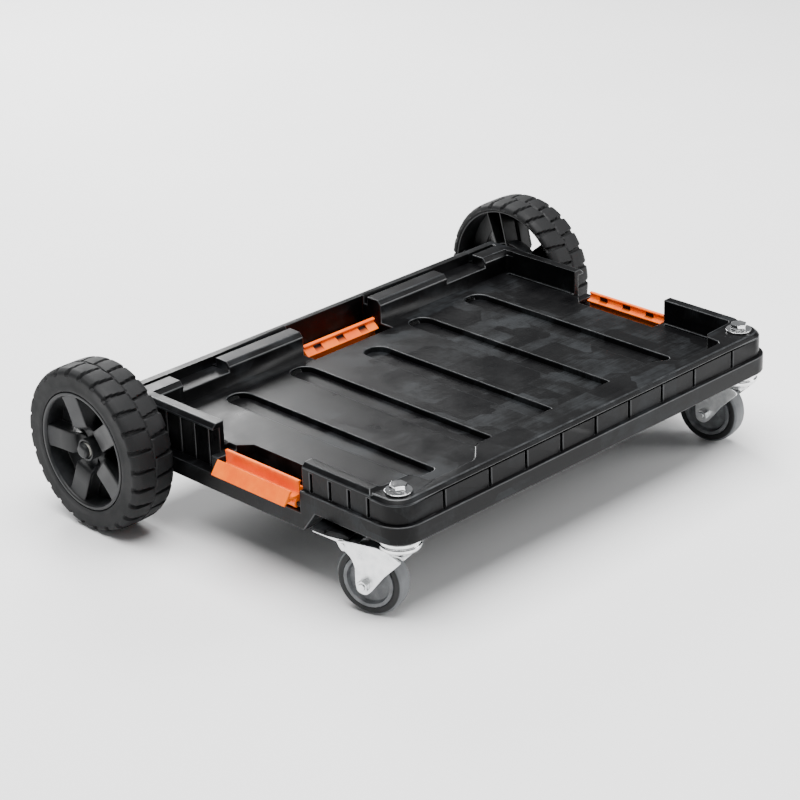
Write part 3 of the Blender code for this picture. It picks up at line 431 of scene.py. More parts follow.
def settle(mesh: bpy.types.Mesh, crease: float, width: float = 0.0, weld: float = 0.0, turn: bool = True,
           merge: bool = False) -> bpy.types.Mesh:
    """Weld a mesh's points, turn its faces outwards, merge the flat ones and mark its edges.

    Args:
        mesh: The mesh, changed in place.
        crease: The angle in degrees from which an edge counts as sharp.
        width: The width of the bevel to come, or 0 for none.
        weld: Points closer than this become one; 0 leaves them.
        turn: Whether the faces are turned outwards, which a CAD mesh's are already.
        merge: Whether flat neighbours become one face, cut evenly where it has more than four corners.

    Returns:
        The same mesh.
    """
    work = bmesh.new()
    work.from_mesh(mesh)
    if weld:
        bmesh.ops.remove_doubles(work, verts=work.verts, dist=weld)
    if turn:
        bmesh.ops.recalc_face_normals(work, faces=work.faces)
    if merge:
        bmesh.ops.dissolve_limit(work, angle_limit=math.radians(FLAT), verts=work.verts, edges=work.edges)
        wide = [face for face in work.faces if len(face.verts) > 4]
        bmesh.ops.triangulate(work, faces=wide, quad_method="BEAUTY", ngon_method="BEAUTY")
    mark_edges(work, crease, width)
    work.to_mesh(mesh)
    work.free()
    return mesh


def add_bevel(piece: bpy.types.Object, width: float) -> None:
    """Round a piece's marked edges and even its shading.

    Args:
        piece: The object.
        width: The bevel's width.
    """
    bevel = piece.modifiers.new("rounded edges", "BEVEL")
    bevel.limit_method = "WEIGHT"
    bevel.width = width
    bevel.segments = ROUND_STEPS
    bevel.use_clamp_overlap = False
    even = piece.modifiers.new("even shading", "WEIGHTED_NORMAL")
    even.keep_sharp = True


def rounded_piece(name: str, node: str, body: str, finish: Finish, slot: str,
                  width: float) -> bpy.types.Object:
    """Make a new piece from a CAD node with its edges rounded as the mould or press leaves them.

    Args:
        name: The piece's name.
        node: The CAD node it copies and replaces.
        body: The body that carries it.
        finish: Its finish.
        slot: Its material slot; not used.
        width: The bevel's width.

    Returns:
        The piece.
    """
    mesh = frame["nodes"][node].data.copy()
    mesh.name = node + "_soft"
    settle(mesh, CAD_CREASE, width, weld=WELD, turn=False, merge=True)
    piece = place_piece(name, mesh, body, finish, [node])
    add_bevel(piece, width)
    return piece


def grid_faces(rows: int, count: int, closed: bool, wrap: bool) -> list[list[int]]:
    """List the quads of a grid of points that are numbered row by row.

    The quad at (i, j) joins points (i, j), (i + 1, j), (i + 1, j + 1) and (i, j + 1).

    Args:
        rows: Number of rows.
        count: Points in a row.
        closed: Whether the last row joins the first.
        wrap: Whether each row's last point joins its first.

    Returns:
        Four point numbers for each quad.
    """
    i, j = np.meshgrid(np.arange(rows if closed else rows - 1), np.arange(count if wrap else count - 1),
                       indexing="ij")
    i2, j2 = (i + 1) % rows, (j + 1) % count
    corners = [i * count + j, i2 * count + j, i2 * count + j2, i * count + j2]
    return np.stack(corners, -1).reshape(-1, 4).tolist()


def raw_mesh(name: str, points: np.ndarray, faces: list[list[int]],
             band: np.ndarray | None = None) -> bpy.types.Mesh:
    """Put points and faces into a new mesh.

    Args:
        name: The mesh's name.
        points: Points in an array whose last axis is 3 long.
        faces: Point numbers of each face.
        band: Values in 0..1 for each point, kept as the "band" attribute.

    Returns:
        The mesh.
    """
    mesh = bpy.data.meshes.new(name)
    mesh.from_pydata(points.reshape(-1, 3).tolist(), [], faces)
    if band is not None:
        values = np.ascontiguousarray(band.reshape(-1), np.float32)
        mesh.attributes.new("band", "FLOAT", "POINT").data.foreach_set("value", values)
    return mesh


def grid_mesh(name: str, points: np.ndarray, wrap: bool = True, crease: float = 38.0,
              band: np.ndarray | None = None) -> bpy.types.Mesh:
    """Turn a grid of points, round by profile, into a closed mesh whose faces point outwards.

    Args:
        name: The mesh's name.
        points: Array of turns x profile x 3; the turns always close on themselves.
        wrap: Whether the profile closes on itself too; otherwise its ends lie on the axis.
        crease: The angle in degrees from which an edge is shaded sharp.
        band: Values in 0..1 for each point, kept as the "band" attribute.

    Returns:
        The mesh.
    """
    turns, count = points.shape[:2]
    return settle(raw_mesh(name, points, grid_faces(turns, count, True, wrap), band), crease, weld=POLE)


def axis_frame(axis: Vector) -> np.ndarray:
    """Stand three unit vectors on an axis.

    Args:
        axis: The axis.

    Returns:
        Rows: one across and one up, both square to the axis, and the axis.
    """
    along = np.array(axis.normalized())
    up = UP
    if abs(along[2]) > 0.9:
        up = np.array([0.0, 1.0, 0.0])
    across = np.cross(up, along)
    across /= np.linalg.norm(across)
    return np.stack([across, np.cross(along, across), along])


def turned(profile: np.ndarray, centre: Vector, axis: Vector, steps: int) -> np.ndarray:
    """Carry a profile round an axis.

    A point at angle a is centre + axis * x + (across * cos a + up * sin a) * r.

    Args:
        profile: Rows of distance along the axis and radius.
        centre: A point on the axis.
        axis: The axis.
        steps: How many turns make the round.

    Returns:
        Grid of steps x profile x 3.
    """
    across, up, along = axis_frame(axis)
    angle = np.linspace(0, 2 * np.pi, steps, endpoint=False)
    ray = np.cos(angle)[:, None] * across + np.sin(angle)[:, None] * up
    return np.array(centre) + profile[None, :, :1] * along + profile[None, :, 1:2] * ray[:, None, :]


def eased(corners: Iterable[tuple[float, float]], radius: float, steps: int = 4) -> np.ndarray:
    """Round every corner of a closed profile with a small arc.

    Each corner is cut back by radius (or 0.45 of its shorter side) and bridged by the curve
    (1-t)^2 * before + 2t(1-t) * corner + t^2 * after.

    Args:
        corners: The profile's corners.
        radius: How far each is cut back.
        steps: Points on each arc.

    Returns:
        The rounded profile as rows of two.
    """
    pts = np.array(list(corners), float)
    before, after = np.roll(pts, 1, 0) - pts, np.roll(pts, -1, 0) - pts
    reach_b, reach_a = np.linalg.norm(before, axis=1), np.linalg.norm(after, axis=1)
    cut = np.minimum(radius, 0.45 * np.minimum(reach_b, reach_a))
    first = pts + before / np.maximum(reach_b, 1e-9)[:, None] * cut[:, None]
    last = pts + after / np.maximum(reach_a, 1e-9)[:, None] * cut[:, None]
    t = np.linspace(0, 1, steps)[None, :, None]
    arcs = (1 - t) ** 2 * first[:, None] + 2 * t * (1 - t) * pts[:, None] + t ** 2 * last[:, None]
    flat = arcs.reshape(-1, 2)
    keep = np.ones(len(flat), bool)
    keep[1:] = np.linalg.norm(np.diff(flat, axis=0), axis=1) > 1e-7
    return flat[keep]


def smooth_step(low: float, high: float, value: np.ndarray) -> np.ndarray:
    """Rise from 0 at low to 1 at high as 3t^2 - 2t^3, where t is the share of the way.

    Args:
        low: Where the rise starts.
        high: Where it ends.
        value: The values to look up.

    Returns:
        The risen values, in 0..1.
    """
    t = np.clip((value - low) / (high - low), 0, 1)
    return t * t * (3 - 2 * t)


def joint_line(name: str) -> tuple[Vector, Vector]:
    """Look up a joint in the record.

    Args:
        name: The joint's name.

    Returns:
        A point on its axis and the axis, in the cart's own frame.
    """
    row = next(j for j in frame["record"]["behaviour"]["joints"] if j["name"] == name)
    return Vector(row["pos_m"]), Vector(row["axis"])


def half_span(node: str, axis: int) -> float:
    """Half the length of a CAD node's box along X, Y or Z, which are 0, 1 and 2."""
    low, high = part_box(node)
    return (high[axis] - low[axis]) / 2


def dress(node: str, finish: Finish) -> None:
    """Give a CAD node that stays its finish.

    Args:
        node: The CAD node.
        finish: Its finish.
    """
    for entry in frame["nodes"][node].material_slots:
        entry.material = finish.material()


def combined(name: str, meshes: Iterable[bpy.types.Mesh]) -> bpy.types.Mesh:
    """Join several closed meshes into one mesh, as shells of one piece.

    Args:
        name: The new mesh's name.
        meshes: The shells.

    Returns:
        The joined mesh.
    """
    work = bmesh.new()
    for mesh in meshes:
        work.from_mesh(mesh)
    whole = bpy.data.meshes.new(name)
    work.to_mesh(whole)
    work.free()
    return whole


def lofted(name: str, centres: np.ndarray, wide: np.ndarray, thick: np.ndarray,
           across: np.ndarray) -> bpy.types.Mesh:
    """Carry a rounded rectangle along a line of centres and close both ends.

    A section point at angle f is centre + across * w * c(f) + up * t * s(f), with c and s the cosine and sine
    raised to the power corner with their signs kept, so that a small power squares the section off. up is
    the line's direction turned a quarter round across.

    Args:
        name: The mesh's name.
        centres: Rows of three, the line.
        wide: Half-width at each centre.
        thick: Half-thickness at each centre.
        across: Unit vector along the width.

    Returns:
        The closed mesh.
    """
    steps, corner = 28, 0.22
    run = np.gradient(centres, axis=0)
    run /= np.linalg.norm(run, axis=1)[:, None]
    up = np.cross(run, across)
    angle = np.linspace(0, 2 * np.pi, steps, endpoint=False)[:, None, None]
    c = np.sign(np.cos(angle)) * np.abs(np.cos(angle)) ** corner
    s = np.sign(np.sin(angle)) * np.abs(np.sin(angle)) ** corner
    sides = centres[None] + across * wide[None, :, None] * c + up[None] * thick[None, :, None] * s
    ends = [np.broadcast_to(centres[k], (steps, 1, 3)) for k in (0, -1)]
    return grid_mesh(name, np.concatenate([ends[0], sides, ends[1]], 1), wrap=False)


# ----------------------------------------------------------- sub-assemblies


@dataclass
class Platform:
    """The moulded platform with its tray, walls and skirt."""

    edge: float = 1.2 * MM

    def build(self) -> None:
        """Round the moulding's edges, dress it, and paint the rounded edges lighter as a painted highlight.
        """
        piece = rounded_piece("platform_moulding", "platform", "platform", Finish.BLACK_PP,
                              "black_polypropylene", self.edge)
        # The bevel faces take this lighter second material, a painted highlight on every rounded edge.
        piece.data.materials.append(Finish.RUBBED_PP.material())
        piece.modifiers["rounded edges"].material = 1


@dataclass(frozen=True)
class LatchShape:
    """What differs between the latches' sections, in millimetres outward of and above the pivot."""

    flap: Outline           # the pull edge, outside the wall
    plate: Outline          # the hook, inside it
    valley: int             # the first of two neighbouring points of the plate that a slot moves
    sunk: Outline           # how far each of the two moves


SIDE_LATCH = LatchShape(
    flap=((15.4, 5.2), (18.0, 1.8), (20.4, 3.2), (9.6, 18.0), (7.0, 16.4), (12.2, 9.5)),
    plate=((-1.5, 9.8), (-2.6, 12.0), (-2.6, 23.2), (-2.0, 23.8), (-2.2, 25.4), (-4.0, 26.0), (-6.2, 25.4),
           (-6.6, 23.6), (-5.0, 22.6), (-5.0, 21.4), (-5.0, 17.6), (-10.6, 16.0), (-10.8, 14.4),
           (-6.0, 12.6)),
    valley=9, sunk=((1.5, 0.0), (1.5, 0.0)))
REAR_LATCH = LatchShape(
    flap=((12.0, 6.8), (15.2, 10.3), (9.6, 18.0), (7.0, 16.4), (11.2, 10.6)),
    plate=((-1.5, 9.8), (-2.2, 12.0), (-2.0, 24.4), (-2.8, 26.0), (-6.4, 24.9), (-6.8, 23.5), (-4.8, 21.6),
           (-4.7, 20.2), (-6.7, 19.2), (-12.8, 13.6), (-12.6, 12.6), (-6.0, 12.2)),
    valley=7, sunk=((1.6, -0.9), (1.2, -1.6)))


@dataclass
class Latch:
    """One orange snap latch: a section carried along its length, with blind slots over the hook."""

    place: str
    outward: tuple[float, float, float]
    shape: LatchShape
    edge: float = 0.6 * MM
    slots: tuple[int, ...] = (-1, 0, 1)      # where the slots are, in pitches from the middle
    slot_pitch: float = 37 * MM
    slot_length: float = 12.5 * MM
    fade: float = 0.25 * MM                  # length over which a slot's end wall falls
    foot: Outline = ((-6.0, -2.5), (-3.5, -4.7), (2.5, -4.7), (4.7, -2.0), (4.7, 2.5), (1.5, 6.0))

    def stations(self, half: float) -> tuple[np.ndarray, np.ndarray]:
        """Lay out the stations along the latch.

        Args:
            half: Half the latch's length.

        Returns:
            Each station's distance from the middle, and 1 in a slot or 0 beside it.
        """
        stops, deep = [-half], [0.0]
        for k in self.slots:
            for sign, values in ((-1, [0.0, 1.0]), (1, [1.0, 0.0])):
                end = k * self.slot_pitch + sign * self.slot_length / 2
                stops += [end - self.fade / 2, end + self.fade / 2]
                deep += values
        return np.array(stops + [half]), np.array(deep + [0.0])

    def build(self) -> None:
        """Carry the section along, sink the slots and hang the piece.

        Point i of station v lies at pivot + outward * u + Z * w + along * v. In a slot, the two points of the
        valley move back into the plate, and their "band" is 1, which the finish paints dark as painted shade
        in the slot.
        """
        name = f"latch_{self.place}"
        pivot, _ = joint_line(name + "_hinge")
        section = np.array(self.foot + self.shape.flap + self.shape.plate) * MM
        first = len(self.foot) + len(self.shape.flap) + self.shape.valley
        valley = [first, first + 1]
        stops, deep = self.stations(max(half_span(name, 0), half_span(name, 1)))
        grid = np.repeat(section[None], len(stops), 0)
        grid[:, valley] += deep[:, None, None] * np.array(self.shape.sunk) * MM
        out = np.array(self.outward)
        points = np.array(pivot) + grid[..., :1] * out + grid[..., 1:] * UP \
            + stops[:, None, None] * np.cross(out, UP)
        # The band marks the slot valleys, which the orange finish paints dark as painted shade.
        band = np.zeros(grid.shape[:2])
        band[:, valley] = deep[:, None]
        mesh = ribbon_mesh(name + "_moulding", points, band, self.edge)
        piece = place_piece(name + "_moulding", mesh, name, Finish.ORANGE_PP, [name])
        add_bevel(piece, self.edge)
        dress(f"latch_pin_{self.place}", Finish.BLACKED)


def ribbon_mesh(name: str, points: np.ndarray, band: np.ndarray, width: float) -> bpy.types.Mesh:
    """Skin a run of closed sections with flat ends and weigh its edges for a bevel.

    Args:
        name: The mesh's name.
        points: Array of stations x section x 3.
        band: The "band" value of each point.
        width: The bevel's width.

    Returns:
        The closed mesh.
    """
    stations, count = points.shape[:2]
    last = (stations - 1) * count
    caps = [list(range(count)), list(range(last + count - 1, last - 1, -1))]
    faces = grid_faces(stations, count, False, True) + caps
    return settle(raw_mesh(name, points, faces, band), 25.0, width, merge=True)


@dataclass
class RearRim:
    """The open rim: a stepped barrel with a lip, five flanged spokes with ribs behind, and a hub boss."""

    side: Side
    spokes: int = 5
    first: float = 0.0                  # degrees from +Y towards +Z; one spoke points to the rear
    inset: float = 0.8 * MM             # how far the lip's face stands inside the tyre's side
    gap: float = 0.05 * MM              # between the barrel and the tyre's bore
    skin: float = 10.1 * MM             # what is left for the tyre outside the barrel's wide inner part
    lip: float = 3.4 * MM               # width of the lip's face
    hub: float = 13.0 * MM
    face: float = 22.0 * MM             # how far the boss stands out from the wheel's middle
    hoop: Outline = ((-3.0, 43.0), (-3.0, 41.0), (-19.0, 41.4), (-19.0, 42.6))      # mm out and mm of radius
    spoke_half: float = 13.2 * MM       # half-width at the barrel
    spoke_thick: float = 2.4 * MM
    # A spoke's centre line in mm from the axle and outward, with its shares of width and thickness.
    reach: tuple[float, ...] = (10.0, 14.0, 20.0, 23.0, 25.0, 26.5, 28.0, 45.0, 58.0, 66.5)
    rise: tuple[float, ...] = (7.0, 7.2, 8.0, 9.5, 13.5, 17.3, 18.6, 19.6, 21.0, 23.0)
    taper: tuple[float, ...] = (0.6, 0.64, 0.74, 0.82, 0.9, 0.94, 0.97, 0.98, 1.0, 1.0)
    thinned: tuple[float, ...] = (0.9, 0.9, 0.95, 1.0, 1.0, 1.0, 1.0, 1.0, 1.0, 1.0)
    flange_half: float = 1.2 * MM       # the walls along a spoke's sides
    flange_deep: float = 8.0 * MM
    flange_inset: float = 1.3 * MM
    rib_half: float = 1.1 * MM          # the two ribs behind a spoke
    rib_deep: float = 11.0 * MM
    rib_back: float = 10.0 * MM
    rib_apart: tuple[float, float] = (7.0 * MM, 11.5 * MM)      # half their distance, at hub and rim

    @property
    def half(self) -> float:
        """Half the rim's width."""
        return half_span(f"rear_tyre_{self.side.word}", 0) - self.inset

    @property
    def radius(self) -> float:
        """The barrel's radius in the tyre's bore."""
        return half_span(f"rear_rim_{self.side.word}", 2) - self.gap

    @property
    def flare(self) -> float:
        """The radius of the barrel's wide inner part."""
        return half_span(f"rear_tyre_{self.side.word}", 2) - self.skin

    def turned_shells(self, point: Vector, out: Vector) -> list[bpy.types.Mesh]:
        """Turn the barrel, the hoop that ties the ribs, and the hub boss.

        Args:
            point: The wheel's middle.
            out: The axle's direction away from the cart.

        Returns:
            The three meshes.
        """
        half, radius, flare = self.half, self.radius, self.flare
        barrel = [(half, radius), (half, radius - self.lip), (half - 2.5 * MM, radius - 5.0 * MM),
                  (2.5 * MM, radius - 4.4 * MM), (2.0 * MM, flare - 2.6 * MM),
                  (-half + 1 * MM, flare - 2.2 * MM), (-half + 1 * MM, flare), (4.0 * MM, flare),
                  (5.9 * MM, radius)]
        bore = half_span(f"rear_bush_{self.side.word}", 2) + 0.1 * MM
        recess = self.face - 3.4 * MM
        boss = [(self.face, self.hub), (self.face, self.hub - 2.2 * MM), (recess, self.hub - 3.0 * MM),
                (recess, bore), (-half + 3 * MM, bore), (-half + 3 * MM, self.hub - 1.0 * MM)]
        hoop = [(x * MM, r * MM) for x, r in self.hoop]
        rows = (("barrel", eased(barrel, 0.8 * MM), 160), ("hoop", eased(hoop, 0.5 * MM, 3), 120),
                ("boss", eased(boss, 0.6 * MM), 64))
        return [grid_mesh(name, turned(profile, point, out, steps), crease=50.0)
                for name, profile, steps in rows]

    def spoke(self, angle: float, point: Vector, out: Vector) -> list[bpy.types.Mesh]:
        """Loft one spoke with its two flanges and its two ribs.

        Args:
            angle: Where it points, from +Y towards +Z.
            point: The wheel's middle.
            out: The axle's direction away from the cart.

        Returns:
            The five meshes.
        """
        ray = np.array([0.0, math.cos(angle), math.sin(angle)])
        aside = np.array([0.0, -math.sin(angle), math.cos(angle)])
        middle, away = np.array(point), np.array(out)
        line = middle + np.array(self.reach)[:, None] * MM * ray + np.array(self.rise)[:, None] * MM * away
        wide = self.spoke_half * np.array(self.taper)
        shells = [lofted("spoke", line, wide, self.spoke_thick * np.array(self.thinned), aside)]
        count = len(self.reach)
        for edge in (-1, 1):
            wall = line + aside * (edge * (wide - self.flange_inset))[:, None] - away * self.flange_deep
            shells.append(lofted("flange", wall, np.full(count, self.flange_half),
                                 np.full(count, self.flange_deep), aside))
        start = middle - away * self.rib_back
        for edge in (-1, 1):
            rib = start + np.linspace(11 * MM, self.flare - 1.5 * MM, 6)[:, None] * ray \
                + aside * (edge * np.linspace(*self.rib_apart, 6))[:, None]
            shells.append(lofted("rib", rib, np.full(6, self.rib_half), np.full(6, self.rib_deep), aside))
        return shells

    def build(self) -> None:
        """Make the shells, join them and hang them on the wheel."""
        word = self.side.word
        point, axis = joint_line(f"rear_wheel_{word}_spin")
        out = axis * self.side.value
        shells = self.turned_shells(point, out)
        for k in range(self.spokes):
            shells += self.spoke(math.radians(self.first + 360.0 * k / self.spokes), point, out)
        mesh = combined(f"rear_rim_{word}_moulding", shells)
        place_piece(mesh.name, mesh, f"rear_wheel_{word}", Finish.RIM_PP,
                    [f"rear_rim_{word}"])


@dataclass
class RearWheel:
    """One lugged rear wheel: tyre, rim, bush, washer and cap."""

    side: Side
    lugs: int = 26
    steps_per_lug: int = 18
    stations: int = 150                # points round the section before the walls are thinned out
    groove_depth: float = 3.8 * MM
    groove_inner: float = 0.8 * MM     # half-width of a groove at the middle of the tread
    groove_outer: float = 2.3 * MM     # and at the shoulder
    lean: float = 0.12                 # how far a groove leans by the shoulder, in pitches
    edge: float = 0.9 * MM             # over how much a groove's wall falls
    seam_depth: float = 1.2 * MM
    seam_wave: float = 0.8 * MM        # how far the middle seam swings to each side
    skin: float = 10.0 * MM            # the tyre's thickness over the hollow inner side
    step: float = 6.0 * MM             # where the hollow ends, outwards of the wheel's middle

    def section(self, half: float, radius: float, bore: float) -> tuple[np.ndarray, np.ndarray]:
        """Draw the tyre's closed section, with points closest together on the tread.

        Args:
            half: Half the tyre's width.
            radius: The tyre's radius.
            bore: The radius of its bore.

        Returns:
            Rows of distance outwards and radius, and each point's outward normal.
        """
        outer = [(half - 2.2 * MM, bore), (half, bore + 2.4 * MM), (half - 0.7 * MM, bore + 9 * MM),
                 (half, radius - 6.5 * MM), (half - 1.6 * MM, radius - 3.6 * MM),
                 (half - 7.0 * MM, radius - 0.7 * MM), (half * 0.4, radius)]
        hollow = radius - self.skin
        inner = [(-x, r) for x, r in reversed(outer[3:])]
        inner += [(-half, hollow + 2 * MM), (-half + 1.5 * MM, hollow), (self.step - 1.8 * MM, hollow),
                  (self.step + 0.2 * MM, bore)]
        line = eased(outer + inner, 2.4 * MM, 5)
        lengths = np.linalg.norm(np.roll(line, -1, 0) - line, axis=1)
        marks = np.r_[0, np.cumsum(lengths)]
        places = np.linspace(0, marks[-1], self.stations, endpoint=False)
        ring = np.r_[line, line[:1]]
        line = np.c_[np.interp(places, marks, ring[:, 0]), np.interp(places, marks, ring[:, 1])]
        tread = line[:, 1] > radius - 14 * MM
        line = line[tread | (np.arange(len(line)) % 3 == 0)]
        tangent = np.roll(line, -1, 0) - np.roll(line, 1, 0)
        normal = np.c_[-tangent[:, 1], tangent[:, 0]]
        normal /= np.linalg.norm(normal, axis=1)[:, None]
        outwards = np.sign(((line - [0, (bore + radius) / 2]) * normal).sum(1))
        normal *= np.where(outwards == 0, 1, outwards)[:, None]
        return line, normal

    def sunk(self, line: np.ndarray, angle: np.ndarray, half: float, radius: float) -> np.ndarray:
        """Work out how deep each point of the tyre lies in a groove or in the middle seam.

        A groove's middle lies where angle * lugs / 2 pi is a whole number on the outer row and half more on
        the inner row, leaning with the distance from the middle; its half-width grows outwards.

        Args:
            line: The section.
            angle: The turns' angles, as a column.
            half: Half the tyre's width.
            radius: The tyre's radius.

        Returns:
            Array of turns x section.
        """
        x, r = line[None, :, 0], line[None, :, 1]
        across = np.abs(x) / half
        phase = angle * self.lugs / (2 * np.pi) + np.where(x > 0, 0.0, 0.5) + self.lean * across
        away = np.abs((phase + 0.5) % 1 - 0.5) * 2 * np.pi * radius / self.lugs
        width = self.groove_inner + (self.groove_outer - self.groove_inner) * across
        groove = 1 - smooth_step(0.0, 1.0, (away - width) / self.edge)
        groove *= smooth_step(0.6 * MM, 1.6 * MM, np.abs(x))
        swing = self.seam_wave * np.sin(angle * self.lugs)
        seam = 1 - smooth_step(0.5 * MM, 1.3 * MM, np.abs(x - swing))
        depth = np.maximum(groove * self.groove_depth, seam * self.seam_depth)
        return depth * smooth_step(radius - 9.0 * MM, radius - 6.5 * MM, r)

    def tyre(self) -> None:
        """Carry the section round the axle, with each point moved inwards along its normal by its depth."""
        word = self.side.word
        node = f"rear_tyre_{word}"
        point, axis = joint_line(f"rear_wheel_{word}_spin")
        half, radius = half_span(node, 0), half_span(node, 2)
        line, normal = self.section(half, radius, half_span(f"rear_rim_{word}", 2))
        turns = self.lugs * self.steps_per_lug
        depth = self.sunk(line, np.linspace(0, 2 * np.pi, turns, endpoint=False)[:, None], half, radius)
        moved = line[None] - normal[None] * depth[..., None]
        rays = turned(np.array([[0.0, 1.0]]), Vector((0, 0, 0)), axis, turns)
        out = np.array(axis) * self.side.value
        points = np.array(point) + moved[..., :1] * out + moved[..., 1:] * rays
        mesh = grid_mesh(node + "_lugged", points, crease=35.0)
        place_piece(node + "_lugged", mesh, f"rear_wheel_{word}", Finish.TYRE, [node])

    def build(self) -> None:
        """Make the whole wheel."""
        word = self.side.word
        self.tyre()
        RearRim(self.side).build()
        rounded_piece(f"axle_cap_{word}_round", f"axle_cap_{word}", "platform", Finish.RIM_PP,
                      "rim_polypropylene", 0.6 * MM)
        dress(f"rear_bush_{word}", Finish.NYLON)
        dress(f"rear_washer_{word}", Finish.ZINC)


def sheet_plate(name: str, outline: np.ndarray, span: tuple[float, float],
                axes: tuple[np.ndarray, np.ndarray, np.ndarray], edge: float) -> bpy.types.Mesh:
    """Cut a flat plate to an outline in the upright plane and give it its thickness.

    An outline point (s, z) at thickness w lies at origin + along * s + across * w + Z * z.

    Args:
        name: The mesh's name.
        outline: Rows of distance along and height.
        span: Where the plate starts and ends across.
        axes: The foot of the swivel axis, and the unit vectors along the trail and across it.
        edge: The width of its rim's bevel.

    Returns:
        The closed mesh, with a bevel weight on its rim.
    """
    origin, along, across = axes
    count = len(outline)
    flat = origin + outline[:, :1] * along + outline[:, 1:] * UP
    points = np.concatenate([flat + across * w for w in span])
    ring = np.arange(count)
    after = np.roll(ring, -1)
    walls = np.stack([ring, after, after + count, ring + count], -1).tolist()
    caps = [ring[::-1].tolist(), (ring + count).tolist()]
    return settle(raw_mesh(name, points, walls + caps), 40.0, edge)


@dataclass
class CastorHead:
    """The pressed fork with its crown and the two swivel cups under the platform."""

    side: Side
    leg: Outline = (
        (67.5, 84.4), (56.0, 86.2), (17.7, 86.8), (4.0, 83.0), (-11.0, 75.0), (11.0, 53.0), (27.5, 31.5),
        (34.0, 26.8), (43.5, 29.0), (45.6, 38.0), (45.6, 58.8), (49.5, 67.5), (55.5, 73.3), (63.5, 78.0))
    crown: Outline = ((17.0, 0.0), (14.0, -2.5), (-9.0, -2.5), (-13.0, -4.5), (-15.0, -3.0), (-11.0, 0.0))
    race: Outline = ((-8.0, 6.0), (-8.0, 10.5), (-6.0, 12.6), (-1.0, 13.4), (-1.0, 6.0))
    cup: Outline = ((0.0, 6.0), (0.0, 15.0), (1.2, 21.2), (4.2, 23.6), (7.6, 23.6), (8.6, 21.8))
    cup_top: Outline = ((-2.2, 21.8), (0.0, 19.0), (0.0, 6.0))
    crown_top: float = 82.6 * MM     # crown, race and cup are drawn in mm from this height; crown along too
    sheet: float = 2.5 * MM
    half: float = 19.0 * MM          # half the fork's width over its legs
    inset: float = 0.4 * MM          # how far the crown's ends stand inside the legs' outer faces
    edge: float = 0.5 * MM

    def over(self, rows: Outline, level: float) -> list[tuple[float, float]]:
        """Turn rows of height from a level and radius, in mm, into metres."""
        return [(level + z * MM, r * MM) for z, r in rows]

    def fork(self, axes: tuple[np.ndarray, np.ndarray, np.ndarray]) -> bpy.types.Mesh:
        """Cut the legs, press the crown and turn the race under it.

        Args:
            axes: The foot of the swivel axis, the trail's direction and the wheel's axle.

        Returns:
            The joined mesh.
        """
        outline = eased([(s * MM, z * MM) for s, z in self.leg], 4.0 * MM, 5)
        shells = []
        for sign in (-1, 1):
            middle = sign * (self.half - self.sheet / 2)
            span = (middle - self.sheet / 2, middle + self.sheet / 2)
            shells.append(sheet_plate("leg", outline, span, axes, self.edge))
        crown = eased([(s * MM, self.crown_top + z * MM) for s, z in self.crown], 1.5 * MM)
        reach = self.half - self.inset
        shells.append(sheet_plate("crown", crown, (-reach, reach), axes, self.edge))
        race = eased(self.over(self.race, self.crown_top), 1.2 * MM)
        shells.append(grid_mesh("race", turned(race, Vector(axes[0]), Vector(UP), 64)))
        return combined(f"castor_fork_{self.side.word}_pressing", shells)

    def build(self) -> None:
        """Make the fork and the lower cup and hang them on the swivel."""
        word = self.side.word
        swivel = f"castor_swivel_{word}"
        pivot, _ = joint_line(f"castor_{word}_swivel")
        hub, axle = joint_line(f"castor_{word}_spin")
        origin = np.array((pivot.x, pivot.y, 0.0))
        along = np.array((hub.x - pivot.x, hub.y - pivot.y, 0.0))
        along /= np.linalg.norm(along)
        mesh = self.fork((origin, along, np.array(axle)))
        piece = place_piece(mesh.name, mesh, swivel, Finish.ZINC, [f"castor_fork_{word}"])
        add_bevel(piece, self.edge)
        race_node = f"castor_race_swivel_{word}"
        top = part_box(race_node)[1].z
        cup = eased(self.over(self.cup, self.crown_top) + self.over(self.cup_top, top), 1.0 * MM)
        mesh = grid_mesh("cup", turned(cup, Vector(origin), Vector(UP), 72))
        place_piece(f"castor_cup_bottom_{word}", mesh, swivel, Finish.CHROME, [race_node])


